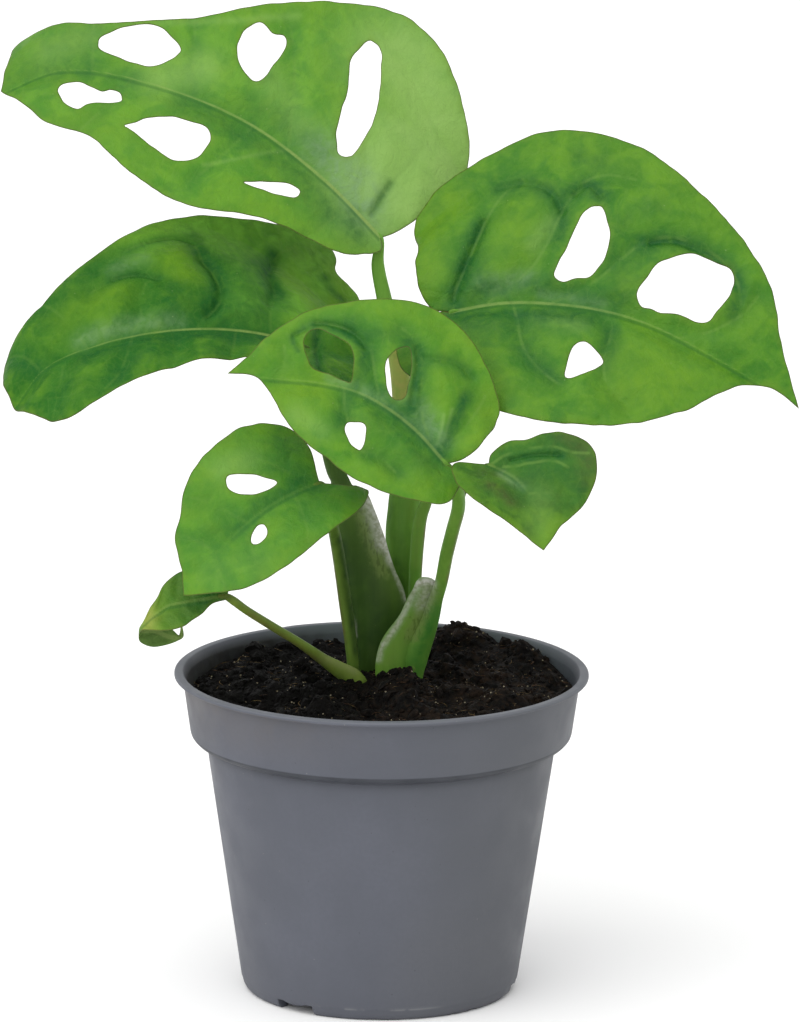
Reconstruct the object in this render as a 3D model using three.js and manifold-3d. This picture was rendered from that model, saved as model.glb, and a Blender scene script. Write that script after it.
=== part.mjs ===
// Potted Monstera obliqua: a young plant with seven leaves, standing in a round nursery pot.
// Millimetres, +Z up. The origin is on the pot's axis, in the plane that the pot stands on.
// -Y is the plant's front, the side that the upper faces of its leaves turn to.

import * as THREE from "three";
import { mergeVertices } from "three/addons/utils/BufferGeometryUtils.js";
import Module from "manifold-3d";

const wasm = await Module();
wasm.setup();

// Pot
const RIM_DIAMETER = 120;
const POT_HEIGHT = 94;
const WALL = 1.2;
const LIP_WIDTH = 2.4;
const LIP_THICKNESS = 1.2;
const BAND_TOP_RADIUS = 57.5;
const BAND_BOTTOM_RADIUS = 55.3;
const BAND_BOTTOM = 76.7;
const BODY_TOP_RADIUS = 50.6;
const BODY_TOP = 70.9;
const BODY_BOTTOM_RADIUS = 40.2;
const FOOT_RADIUS = 38.3;
const FOOT_WIDTH = 2.8;
const FOOT_HEIGHT = 3;
const FOOT_GAP = 12.5;
const FOOT_GAPS = 3;
const FOOT_GAP_FIRST = 232;
const PAD_RADIUS = 9;
const DRAIN_RADIUS = 3.2;
const DRAIN_CIRCLE = 27;
const DRAINS = 6;
const POT_SIDES = 48;

// Soil
const FIT = 0.35;
const SOIL_LEVEL = 88.5;
const SOIL_RINGS = 10;
const SOIL_SIDES = 36;
const CLODS = 60;
const CLOD_HEIGHT = 1.5;
const CLOD_RADIUS = 4;
const SEED = 7;
const MOUNDS = [
  { x: 4, y: -5, height: 7.5, radius: 10 },
  { x: -16, y: -8, height: 2.5, radius: 12 },
  { x: 26, y: -22, height: 2, radius: 16 },
  { x: -38, y: 8, height: 1.5, radius: 14 },
];

// Leaves
const BLADE_THICKNESS = 0.8;
const PETIOLE_SIDES = 10;
const CLEAR = 0.35;

const COLOURS = {
  pot: { color: 0x6c6f78, roughness: 0.45, metalness: 0 },
  soil: { color: 0x1d1613, roughness: 1, metalness: 0 },
  blade: { color: 0x5b9a2f, roughness: 0.4, metalness: 0 },
  darkBlade: { color: 0x3f7f31, roughness: 0.4, metalness: 0 },
  petiole: { color: 0x4f8530, roughness: 0.5, metalness: 0 },
};

// A blade lies in its own frame: x runs along the chord from the petiole to the tip, y across it and z
// out of the upper face. Its two sides are curves from the notch at the petiole to the tip, and each
// hole is a closed curve. midrib holds the points that the midrib bows through between its ends.
// arch lifts the middle of the chord and droop lowers the tip. rise is the slope of each half away
// from the midrib (+y half first), curl lowers the margin and quilt swells the blade between the
// lateral veins, whose starts along the midrib are given for the +y half and the -y half.
const BLADES = [
  {
    name: "upper_left",
    colour: "blade",
    place: [-1, 24, 217],
    turn: { heading: 170, rise: 19, roll: -53 },
    length: 119,
    halfWidth: 46,
    midrib: [[22, -8.5], [49, -15], [80, -15.5], [105, -11.5]],
    sides: [
      [[0, 0], [-1.5, 3.5], [1.5, 7.5], [9.5, 11.5], [26.5, 12], [37.5, 14], [50, 18], [59, 18.2],
        [70, 16], [81.5, 11], [89.5, 7.2], [101, 7.2], [110.5, 2.5], [119, -1]],
      [[0, 0], [-4.5, -5], [-11.5, -18], [-14.8, -30], [-10.5, -43], [3, -59], [18, -65], [34, -62],
        [54.5, -52], [73, -40], [93.5, -31], [108.5, -26.5], [116, -22.5], [121, -16], [119, -1]],
    ],
    holes: [
      [[97.5, -22.5], [91.5, -30], [84, -33], [75, -29], [75, -25.5], [79, -21], [86.5, -20.5],
        [95, -20.5]],
      [[58.5, -34], [59, -40.5], [55, -44], [48, -43.5], [46.5, -40], [48.5, -33], [51.5, -27.5],
        [55.5, -29]],
      [[22, -19.5], [23.5, -27], [26, -40], [27.5, -49], [25, -53], [21.5, -52.5], [18.5, -46],
        [16, -37], [15, -27], [15.5, -21], [18, -17]],
      [[102.5, -4], [101, -8], [94, -9.7], [85, -9.5], [84.5, -5.5], [90, -3.5], [96, 0]],
      [[81, 1], [75, -3.5], [67, -8], [59, -8.5], [55.5, -5], [55.5, -0.5], [58, 4.3], [63, 6.5],
        [72, 4.2]],
      [[41.5, 4.5], [35, 0.7], [27.5, -1.2], [26, 1], [29, 3], [34.5, 4.5]],
    ],
    arch: 9,
    droop: 3,
    rise: [0.25, 0.12],
    curl: 4,
    quilt: 1.2,
    loop: 12,
    veins: [[2, 20, 44, 70, 96], [2, 24, 48, 74, 98]],
  },
  {
    name: "left",
    colour: "darkBlade",
    place: [-22, 8, 188],
    turn: { heading: -169, rise: -9, roll: -39 },
    length: 87,
    halfWidth: 36,
    midrib: [[11, -3], [30, -5.5], [61, -7.3], [76, -7]],
    sides: [
      [[2, 4.5], [5, 7], [8.5, 9], [26.5, 9], [41.5, 10], [51.5, 12], [59, 14], [67, 15.5], [73, 15.2],
        [78, 13.5], [82, 7.5], [84.5, 3], [87, -3]],
      [[2, 4.5], [3.5, 8.5], [3.5, 13], [1, 16.5], [-3, 17], [-8, 14], [-13.5, 6], [-18.5, -5],
        [-21.5, -18], [-22, -27.5], [-20, -31], [-17, -34.5], [-18.2, -40], [-16, -44], [-7.5, -46.5],
        [5, -47.2], [20, -48], [31, -47], [41.5, -44], [61, -34], [76.5, -25.5], [84, -19.5],
        [87.5, -11], [87, -3]],
    ],
    holes: [],
    arch: 12,
    droop: 3,
    rise: [0.35, 0.15],
    curl: 5,
    quilt: 2,
    loop: 12,
    veins: [[2, 16, 36, 58, 76], [2, 15, 33, 54, 74]],
  },
  {
    name: "middle",
    colour: "blade",
    place: [18, -40, 165],
    turn: { heading: 168, rise: 20, roll: -58 },
    length: 68,
    halfWidth: 27,
    midrib: [[13, -5.5], [28, -8.3], [40, -7.1], [57, -2.4]],
    sides: [
      [[0, 0], [-3, 0.5], [-6, 3], [-5.5, 10], [-0.5, 13.3], [10, 15.7], [21.5, 16], [31, 14],
        [41.5, 11], [46.5, 8], [52, 3.5], [56.5, 0], [60.5, -1.8], [68, 0]],
      [[0, 0], [-4.5, -4], [-6.5, -8], [-7.8, -17.5], [-6.5, -23], [4, -33.5], [16, -39], [28, -39],
        [40.5, -34], [54.5, -24.5], [61.5, -13.5], [64, -7], [68, 0]],
    ],
    holes: [
      [[50.5, -15], [50.5, -19], [48, -21], [41.5, -20.3], [36, -16.5], [34, -11], [39, -9.5], [47, -11]],
      [[26, -16.5], [27, -21], [25.5, -25], [22, -24.5], [19.7, -18.5], [18.2, -12], [22, -12]],
      [[30, 2.5], [29, 0.3], [25.5, 0.2], [23.7, 3.5], [24.5, 7.3], [26.5, 7], [28.5, 5.2]],
    ],
    arch: 4,
    droop: 1,
    rise: [0.15, 0.15],
    curl: 2.5,
    quilt: 2,
    loop: 8,
    veins: [[1.5, 12, 28, 44, 58], [1.5, 9.5, 28, 45, 58]],
  },
  {
    name: "upper_right",
    colour: "blade",
    place: [19, 2, 200],
    turn: { heading: -9, rise: -13, roll: 54 },
    length: 104,
    halfWidth: 48,
    midrib: [[14, 5.5], [28, 8.4], [43, 9.9], [58, 9.2], [82, 4.5]],
    sides: [
      [[0, 0], [-6, 0.7], [-10.5, 6], [-13.8, 13.5], [-17.5, 23], [-18.8, 30], [-14, 39], [-6.5, 46.3],
        [1.5, 53], [10, 59], [21, 62], [32, 62], [44, 59.5], [60, 51.5], [75.5, 41.5], [87, 30.5],
        [93, 18], [97, 10.5], [104, 0]],
      [[0, 0], [-5, -4.5], [-10.5, -12], [-11.3, -17.5], [-7, -22.5], [0, -25.7], [11, -28.5],
        [27, -30], [40, -29.5], [58, -25], [73, -15.5], [81.5, -6], [88, 0.2], [95, 2.6], [104, 0]],
    ],
    holes: [
      [[26.5, 16.5], [27, 22.5], [28, 30], [30.5, 37.5], [34, 38.6], [38, 34], [39.2, 27], [36.7, 19.3],
        [32, 15.6]],
      [[51, 16], [52, 20.5], [54.5, 26], [62.5, 32.3], [75, 31], [76.5, 25.5], [75.5, 19.5],
        [71.5, 14.2], [62, 13.8], [54, 13.8]],
      [[38, -14], [37.5, -7.5], [39, -3], [42, -2.5], [47, -6], [45.8, -9.7], [42, -13]],
    ],
    arch: 7,
    droop: 2,
    rise: [0.18, 0.22],
    curl: 5,
    quilt: 2.6,
    loop: 18,
    veins: [[1.5, 16, 40, 66, 88], [1.5, 14, 34, 58, 82]],
  },
  {
    name: "small_right",
    colour: "darkBlade",
    place: [30, -44, 166],
    turn: { heading: -40, rise: -47, roll: 34 },
    length: 30,
    halfWidth: 22,
    midrib: [[8, 4], [16, 4.4]],
    sides: [
      [[0, 0], [-2.5, 2.5], [-3, 8], [-0.5, 13], [0.5, 18], [4.5, 23.5], [10, 26.7], [15, 26],
        [20.5, 22.5], [25, 15.5], [27, 7], [30, 0]],
      [[0, 0], [-1.5, -2.5], [-4, -8], [-3.3, -10.8], [0, -12.5], [5, -13.3], [13, -10.5], [23.5, -4],
        [30, 0]],
    ],
    holes: [],
    arch: 2,
    droop: 0,
    rise: [0.2, 0.5],
    curl: 0,
    quilt: 0.8,
    loop: 4,
    veins: [[1, 8, 16, 24], [1, 8, 16, 24]],
  },
  {
    name: "lower_left",
    colour: "blade",
    place: [-18, -30, 157],
    turn: { heading: -157, rise: -36, roll: -49 },
    length: 51,
    halfWidth: 22,
    midrib: [[9, -2.3], [20, -3.6], [39, -2.8]],
    sides: [
      [[0, 0], [-5.5, 6], [-9.5, 10], [-6, 12.7], [0, 14.5], [12, 14.7], [21, 15], [31.5, 13.5],
        [40, 9.5], [48, 2], [51, -1]],
      [[0, 0], [-3.5, -2.5], [-6.8, -7], [-7.3, -13], [-5, -20], [0.5, -24.5], [9, -27.5], [23, -26.5],
        [31.5, -22.5], [37, -18], [42, -14.5], [47, -6], [51, -1]],
    ],
    holes: [
      [[20.5, -16.5], [18.5, -17.3], [12, -12.5], [10, -7.5], [15, -8], [19.5, -10.5]],
      [[27.3, 2], [24, 0], [21.3, -0.8], [21.5, 2], [24, 3.5]],
    ],
    arch: 4,
    droop: 1,
    rise: [0.3, 0.15],
    curl: 2,
    quilt: 0.9,
    loop: 5,
    veins: [[1.5, 10, 22, 35, 45], [1.5, 10, 22, 35, 45]],
  },
];

// The small leaf low on the left is narrow, and its last third turns back under itself. Each station
// along it gives a point of its back margin, its midrib and its front margin.
const CURLED = {
  name: "curled",
  colour: "blade",
  rows: 26,
  columns: 2,
  stations: [
    [[-46.5, -35.8, 125.4], [-46.6, -36.2, 124.8], [-47, -36.7, 124.2]],
    [[-48, -32.5, 128], [-48.5, -36.5, 124.5], [-48.5, -38, 123.5]],
    [[-53, -30.5, 131], [-52, -36.7, 124], [-51.5, -40, 121.5]],
    [[-57.5, -30, 130], [-55, -37, 123.5], [-54.5, -42, 120]],
    [[-60, -31, 128.5], [-57.5, -37.3, 123], [-56.5, -43.5, 118.7]],
    [[-62.5, -33.5, 126.5], [-61, -38, 122.3], [-60, -45, 117.7]],
    [[-64.2, -36.5, 123.8], [-63.5, -39.5, 121], [-63, -45.4, 117.3]],
    [[-66.2, -38.6, 121.6], [-66, -41, 119.5], [-66, -44.8, 117.2]],
    [[-67.7, -41.2, 119], [-68, -42.8, 118], [-68.2, -44, 116.8]],
    [[-68.5, -41, 117.3], [-69, -41.7, 116.5], [-69.1, -42.5, 115.2]],
    [[-67.6, -38.8, 116.5], [-68.2, -39.8, 115.4], [-68.9, -41, 112.8]],
    [[-64.6, -36.5, 117], [-65.1, -37.3, 114.8], [-65.6, -38.5, 110.7]],
    [[-61.4, -35, 115.9], [-61.6, -35.6, 113], [-61.7, -36.5, 110.8]],
    [[-59.3, -34.5, 114], [-59, -34.8, 112.3], [-58.5, -35, 111.5]],
    [[-58, -34, 112.8], [-57.4, -34.1, 112.6], [-56.8, -34.3, 112.4]],
    [[-57.4, -33.5, 115.5], [-57.2, -33.5, 115.5], [-57, -33.5, 115.4]],
  ],
};

// Each petiole is a run of sections from its foot in the soil to its blade:
// centre x, y, z, half width across the front and half depth.
const PETIOLES = [
  {
    name: "upper_left",
    sections: [[4.7, 25, 74, 2.4, 2], [4.9, 25, 88, 3.6, 2.6], [5, 25, 97, 3.9, 2.8],
      [4.8, 24.5, 109, 3.8, 2.8], [4.7, 24, 121, 3.7, 2.6], [4.7, 24, 130, 3.5, 2.5],
      [5.3, 24, 139, 3.5, 2.4], [5.8, 24, 150, 3.1, 2.3], [5.6, 24, 163, 2.8, 2.2],
      [4.7, 24, 177, 2.7, 2.1], [2.2, 24.2, 190, 2.4, 2], [-0.1, 24.6, 199.5, 2.2, 1.9],
      [-1.9, 25.2, 209, 1.9, 1.7], [-2, 25.4, 215.6, 1.6, 1.3]],
  },
  {
    name: "left",
    sections: [[-2.5, 14, 74, 3, 2], [-2.8, 14, 88, 4.8, 2.6], [-2.5, 14, 99, 5.4, 2.6],
      [-1.2, 14, 111, 7.2, 2.4], [-2.2, 14, 117, 6.9, 2.3], [-4, 13.5, 124, 6.1, 2.2],
      [-6.2, 13, 133, 5.3, 2.1], [-8.4, 12.7, 139, 4.6, 2], [-12, 12.5, 144, 2.7, 2],
      [-14, 12, 151, 2.5, 1.9], [-17, 11.5, 163, 2.2, 1.8], [-19.7, 10.8, 174, 1.9, 1.6],
      [-21.7, 9.7, 186.5, 1.6, 1.2]],
  },
  {
    name: "middle",
    sections: [[5, 5, 74, 3, 2], [5.4, 5, 88, 6, 2.4], [5.8, 5, 94, 7, 2.5], [7.8, 4, 102, 7.2, 2.4],
      [10.5, 2.5, 108, 5.9, 2.3], [12.6, 0.5, 115, 5.2, 2.1], [14, -1.5, 119.5, 4.4, 2],
      [17, -4, 123.5, 2.1, 1.9], [18.6, -9, 131, 1.9, 1.8], [20.6, -17, 140, 1.8, 1.7],
      [21.6, -26, 149.7, 1.7, 1.6], [20.6, -33.5, 158, 1.6, 1.5], [18.4, -38.3, 164, 1.5, 1.2]],
  },
  {
    name: "upper_right",
    sections: [[9.2, 28.3, 74, 1.3, 1.3], [9.3, 28.3, 88, 1.6, 1.6], [9.5, 28.3, 100, 1.8, 1.7],
      [9.6, 28.3, 115, 1.9, 1.7], [10.3, 27.5, 127, 1.9, 1.7], [11, 26, 133.5, 1.9, 1.7],
      [12.6, 24, 139, 1.8, 1.7], [14.8, 20, 152, 1.7, 1.6], [17, 14, 168, 1.6, 1.5],
      [18.5, 8.5, 184.5, 1.5, 1.5], [19, 3.2, 199.2, 1.4, 1.2]],
  },
  {
    name: "small_right",
    sections: [[10.3, 13.5, 74, 1.1, 1.1], [10.6, 13.2, 90, 1.4, 1.4], [12.2, 12, 100, 1.5, 1.5],
      [14.8, 8.5, 113, 1.5, 1.5], [16.8, 0.5, 127, 1.4, 1.4], [19.4, -12, 142, 1.3, 1.3],
      [23.4, -24, 152.5, 1.3, 1.3], [27.5, -34.5, 160.5, 1.2, 1.2], [29.8, -42.9, 165.4, 1.1, 1]],
  },
  {
    name: "lower_left",
    sections: [[-8.3, 9, 74, 1.4, 1.4], [-8.6, 9, 88, 1.8, 1.7], [-9.1, 8.4, 96, 1.9, 1.8],
      [-10.7, 5, 113, 1.9, 1.8], [-13.3, -3, 130.6, 1.7, 1.7], [-14.8, -10, 139.5, 1.6, 1.6],
      [-16.2, -20, 149, 1.4, 1.4], [-17.8, -28.8, 156.5, 1.3, 1.1]],
  },
  {
    name: "curled",
    sections: [[-2, 4.2, 76, 1.5, 1.2], [-4.4, 2.6, 86, 3, 1.6], [-7.6, 1.6, 91, 3, 1.8],
      [-11.8, -0.6, 94.4, 2.4, 1.7], [-16.4, -4.2, 98.2, 1.5, 1.5], [-23.6, -11.5, 105, 1.3, 1.3],
      [-32.1, -21, 113, 1.2, 1.2], [-39.2, -29.3, 120, 1.2, 1.2], [-45.8, -35.2, 124.3, 1.1, 1.1]],
  },
];

const radians = THREE.MathUtils.degToRad;

function manifoldOf(geometry) {
  const bare = geometry.clone();
  bare.deleteAttribute("normal");
  bare.deleteAttribute("uv");
  const merged = mergeVertices(bare, 1e-4);
  return new wasm.Manifold(
    new wasm.Mesh({
      numProp: 3,
      vertProperties: new Float32Array(merged.attributes.position.array),
      triVerts: new Uint32Array(merged.index.array),
    }),
  );
}

function geometryOf(solid) {
  const mesh = solid.getMesh();
  const geometry = new THREE.BufferGeometry();
  geometry.setAttribute("position", new THREE.BufferAttribute(new Float32Array(mesh.vertProperties), 3));
  geometry.setIndex(new THREE.BufferAttribute(new Uint32Array(mesh.triVerts), 1));
  geometry.computeVertexNormals();
  return geometry;
}

function meshOf(name, geometry, colour) {
  const mesh = new THREE.Mesh(geometry, new THREE.MeshStandardMaterial(COLOURS[colour]));
  mesh.name = name;
  return mesh;
}

// A closed solid from an indexed list of points and triangles
function closedGeometry(points, triangles) {
  const geometry = new THREE.BufferGeometry().setFromPoints(points);
  geometry.setIndex(triangles.flat());
  geometry.computeVertexNormals();
  return geometry;
}

// The pot's wall as one turned profile, from the axis under the floor, up the outside and down the inside
function potProfile() {
  const lipRadius = RIM_DIAMETER / 2;
  const lipUnder = POT_HEIGHT - LIP_THICKNESS;
  const footInside = FOOT_RADIUS - FOOT_WIDTH;
  const floorTop = FOOT_HEIGHT + WALL;
  const outside = [
    [0, 0], [PAD_RADIUS, 0], [PAD_RADIUS + 1.2, FOOT_HEIGHT], [footInside, FOOT_HEIGHT],
    [footInside + 0.3, 0], [FOOT_RADIUS, 0], [FOOT_RADIUS + 0.9, 0.8], [FOOT_RADIUS + 1.4, 1.8],
    [BODY_BOTTOM_RADIUS - 0.2, FOOT_HEIGHT], [BODY_BOTTOM_RADIUS, FOOT_HEIGHT + 0.4],
    [BODY_TOP_RADIUS - 0.2, BODY_TOP - 3.6], [BODY_TOP_RADIUS, BODY_TOP],
    [BAND_BOTTOM_RADIUS - 2.7, BODY_TOP + 0.9], [BAND_BOTTOM_RADIUS - 1.3, BODY_TOP + 2.4],
    [BAND_BOTTOM_RADIUS - 0.3, BAND_BOTTOM - 1.5], [BAND_BOTTOM_RADIUS, BAND_BOTTOM],
    [BAND_TOP_RADIUS, lipUnder - 0.8], [BAND_TOP_RADIUS + 0.4, lipUnder - 0.2], [lipRadius, lipUnder],
    [lipRadius, POT_HEIGHT - 0.4], [lipRadius - 0.4, POT_HEIGHT],
  ];
  const inside = [
    [lipRadius - LIP_WIDTH, POT_HEIGHT], [lipRadius - LIP_WIDTH - 0.4, POT_HEIGHT - 0.5],
    [BAND_TOP_RADIUS - WALL, lipUnder - 1.3], [BAND_BOTTOM_RADIUS - WALL, BAND_BOTTOM + 0.3],
    [BAND_BOTTOM_RADIUS - 1.6, BAND_BOTTOM - 1.1], [BAND_BOTTOM_RADIUS - 2.4, BODY_TOP + 3.2],
    [BAND_BOTTOM_RADIUS - 3.5, BODY_TOP + 2], [BODY_TOP_RADIUS - WALL, BODY_TOP + 1],
    [BODY_BOTTOM_RADIUS - WALL, floorTop + 1], [BODY_BOTTOM_RADIUS - WALL - 1, floorTop],
    [PAD_RADIUS + 0.6, floorTop], [PAD_RADIUS - 0.8, WALL], [0, WALL],
  ];
  return { outside, inside };
}

function lathe(profile, sides) {
  const points = profile.map(([r, z]) => new THREE.Vector2(r, z));
  return new THREE.LatheGeometry(points, sides).rotateX(Math.PI / 2);
}

function makePot() {
  const { outside, inside } = potProfile();
  let pot = manifoldOf(lathe([...outside, ...inside], POT_SIDES));
  for (let i = 0; i < FOOT_GAPS; i++) {
    const angle = radians(FOOT_GAP_FIRST + (360 / FOOT_GAPS) * i);
    const gap = new THREE.BoxGeometry(FOOT_WIDTH + 3, FOOT_GAP, FOOT_HEIGHT + 1);
    gap.translate(FOOT_RADIUS - FOOT_WIDTH / 2, 0, FOOT_HEIGHT / 2 - 0.5).rotateZ(angle);
    pot = pot.subtract(manifoldOf(gap));
  }
  for (let i = 0; i < DRAINS; i++) {
    const angle = radians((360 / DRAINS) * (i + 0.5));
    const drain = new THREE.CylinderGeometry(DRAIN_RADIUS, DRAIN_RADIUS, 4 * WALL, 12).rotateX(Math.PI / 2);
    drain.translate(DRAIN_CIRCLE * Math.cos(angle), DRAIN_CIRCLE * Math.sin(angle), FOOT_HEIGHT + WALL / 2);
    pot = pot.subtract(manifoldOf(drain));
  }
  return geometryOf(pot);
}

// A repeatable stream of numbers from 0 to 1
function randomStream(seed) {
  let state = seed;
  return () => {
    state = (state * 16807) % 2147483647;
    return state / 2147483647;
  };
}

function makeClods() {
  const random = randomStream(SEED);
  return Array.from({ length: CLODS }, (_, i) => {
    const reach = 52 * Math.sqrt((i + 0.5) / CLODS);
    const angle = i * Math.PI * (3 - Math.sqrt(5));
    return {
      x: reach * Math.cos(angle),
      y: reach * Math.sin(angle),
      height: CLOD_HEIGHT * (0.3 + random()) * (random() < 0.3 ? -0.6 : 1),
      radius: CLOD_RADIUS * (0.7 + 0.8 * random()),
    };
  });
}

function soilHeight(x, y, lumps) {
  const swell = lumps.reduce(
    (sum, { x: cx, y: cy, height, radius }) =>
      sum + height * Math.exp(-((x - cx) ** 2 + (y - cy) ** 2) / radius ** 2),
    0,
  );
  return SOIL_LEVEL + swell;
}

// The soil fills the pot: its side follows the pot's inner wall, and its top is a heap of clods
function makeSoil(feet) {
  const lumps = [...MOUNDS, ...makeClods()];
  const wall = potProfile().inside.slice(2, -3).reverse();
  const top = wall.at(-1);
  const below = wall.at(-2);
  const slope = (top[0] - below[0]) / (top[1] - below[1]);
  const side = wall.slice(0, -1).map(([r, z]) => [r - FIT, z + FIT]);
  side[0][0] -= 0.4;
  const points = [new THREE.Vector3(0, 0, side[0][1])];
  const triangles = [];
  const ringStart = [];
  const addRing = (radiusAt, heightAt) => {
    ringStart.push(points.length);
    for (let k = 0; k < SOIL_SIDES; k++) {
      const angle = (2 * Math.PI * k) / SOIL_SIDES;
      const r = radiusAt(angle);
      const x = r * Math.cos(angle);
      const y = r * Math.sin(angle);
      points.push(new THREE.Vector3(x, y, heightAt(x, y)));
    }
  };
  side.forEach(([r, z]) => addRing(() => r, () => z));
  const rimRadius = below[0] - FIT + slope * (SOIL_LEVEL - below[1]);
  for (let i = SOIL_RINGS; i > 0; i--) {
    const r = rimRadius * (i / SOIL_RINGS);
    addRing(() => r, (x, y) => soilHeight(x, y, lumps));
  }
  const crown = points.length;
  points.push(new THREE.Vector3(0, 0, soilHeight(0, 0, lumps)));
  for (let k = 0; k < SOIL_SIDES; k++) {
    const next = (k + 1) % SOIL_SIDES;
    triangles.push([0, ringStart[0] + next, ringStart[0] + k]);
    ringStart.slice(1).forEach((start, i) => {
      const under = ringStart[i];
      triangles.push([under + k, under + next, start + next], [under + k, start + next, start + k]);
    });
    triangles.push([ringStart.at(-1) + k, ringStart.at(-1) + next, crown]);
  }
  let soil = manifoldOf(closedGeometry(points, triangles));
  for (const foot of feet) soil = soil.subtract(manifoldOf(foot));
  return geometryOf(soil);
}

// A tapering stalk with elliptical sections along a smooth path. grow widens it all round.
function makeStalk(sections, grow = 0) {
  const centres = sections.map(([x, y, z]) => new THREE.Vector3(x, y, z));
  const path = new THREE.CatmullRomCurve3(centres, false, "centripetal");
  const rings = 2 * (sections.length - 1);
  const points = [];
  const triangles = [];
  for (let i = 0; i <= rings; i++) {
    const u = i / rings;
    const centre = path.getPoint(u);
    const along = path.getTangent(u);
    const across = new THREE.Vector3(1, 0, 0).addScaledVector(along, -along.x).normalize();
    const deep = new THREE.Vector3().crossVectors(along, across);
    const j = Math.min(Math.floor(i / 2), sections.length - 2);
    const [low, high] = [sections[j], sections[j + 1]];
    const halfWidth = THREE.MathUtils.lerp(low[3], high[3], i / 2 - j);
    const halfDepth = THREE.MathUtils.lerp(low[4], high[4], i / 2 - j);
    for (let k = 0; k < PETIOLE_SIDES; k++) {
      const angle = (2 * Math.PI * k) / PETIOLE_SIDES;
      points.push(
        centre
          .clone()
          .addScaledVector(across, (halfWidth + grow) * Math.cos(angle))
          .addScaledVector(deep, (halfDepth + grow) * Math.sin(angle)),
      );
    }
  }
  const foot = points.push(path.getPoint(0).addScaledVector(path.getTangent(0), -0.6 - grow)) - 1;
  const head = points.push(path.getPoint(1).addScaledVector(path.getTangent(1), 0.5)) - 1;
  for (let k = 0; k < PETIOLE_SIDES; k++) {
    const next = (k + 1) % PETIOLE_SIDES;
    triangles.push([foot, next, k]);
    for (let i = 0; i < rings; i++) {
      const low = i * PETIOLE_SIDES;
      const high = low + PETIOLE_SIDES;
      triangles.push([low + k, low + next, high + next], [low + k, high + next, high + k]);
    }
    triangles.push([rings * PETIOLE_SIDES + k, rings * PETIOLE_SIDES + next, head]);
  }
  return closedGeometry(points, triangles);
}

// A smooth function through the midrib's points, which gives its y at any x
function midribOf({ midrib, length }) {
  const knots = [[0, 0], ...midrib, [length, 0]];
  const slopes = knots.map((_, i) => {
    const before = knots[Math.max(i - 1, 0)];
    const after = knots[Math.min(i + 1, knots.length - 1)];
    return (after[1] - before[1]) / (after[0] - before[0]);
  });
  return (at) => {
    const x = THREE.MathUtils.clamp(at, 0, length);
    const i = Math.max(0, knots.findLastIndex((knot, n) => knot[0] <= x && n < knots.length - 1));
    const width = knots[i + 1][0] - knots[i][0];
    const u = (x - knots[i][0]) / width;
    const ends = (1 + 2 * u) * (1 - u) ** 2 * knots[i][1] + u * u * (3 - 2 * u) * knots[i + 1][1];
    return ends + width * (u * (1 - u) ** 2 * slopes[i] + u * u * (u - 1) * slopes[i + 1]);
  };
}

// The height of the blade's middle surface over its own plane
function reliefOf(blade) {
  const midrib = midribOf(blade);
  const { length, halfWidth, arch, droop, rise, curl, quilt, loop, veins } = blade;
  const ROOT_SOFTNESS = 3;
  const VEIN_LEAN = 0.3;
  const BASE_FAN = 0.1;
  const WIDEST = 0.42;
  const HALF_SPAN = 0.64;
  return (x, y) => {
    const along = x / length;
    const across = y - midrib(x);
    const away = Math.abs(across);
    const taper = THREE.MathUtils.clamp(1 - ((along - WIDEST) / HALF_SPAN) ** 2, 0.08, 1);
    const local = halfWidth * Math.sqrt(taper);
    const reach = Math.min(away / local, 1.15);
    const slope = across > 0 ? rise[0] : rise[1];
    let height = arch * 4 * along * (1 - along);
    height -= droop * THREE.MathUtils.clamp((along - 0.6) / 0.4, 0, 2) ** 2;
    height += slope * (Math.hypot(away, ROOT_SOFTNESS) - ROOT_SOFTNESS) - curl * reach ** 2;
    const starts = across > 0 ? veins[0] : veins[1];
    const lead = x - VEIN_LEAN * away - loop * reach ** 4;
    const root = 0.5 * (lead + Math.sqrt(lead * lead + BASE_FAN * away * away));
    const cell = starts.findIndex((start, i) => root >= start && root < starts[i + 1]);
    if (cell >= 0) {
      const share = (root - starts[cell]) / (starts[cell + 1] - starts[cell]);
      const ramp = Math.min(away / 6, 1) * THREE.MathUtils.clamp((1 - reach) * 3, 0, 1);
      height += quilt * ramp * Math.sin(Math.PI * share) ** 0.8;
    }
    return height;
  };
}

// Points along smooth curves, at an even spacing
function alongCurve(points, spacing) {
  const curve = new THREE.SplineCurve(points.map(([x, y]) => new THREE.Vector2(x, y)));
  const count = Math.max(4, Math.round(curve.getLength() / spacing));
  return curve.getSpacedPoints(count);
}

function outlineOf({ sides }, spacing) {
  const [one, two] = sides.map((side) => alongCurve(side, spacing));
  return [...one.slice(0, -1), ...two.slice(1).reverse()];
}

function holeOf(points, spacing) {
  const knots = points.map(([x, y]) => new THREE.Vector3(x, y, 0));
  const curve = new THREE.CatmullRomCurve3(knots, true, "catmullrom");
  const count = Math.max(7, Math.round(curve.getLength() / spacing));
  return curve.getSpacedPoints(count).slice(0, -1).map(({ x, y }) => new THREE.Vector2(x, y));
}

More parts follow.
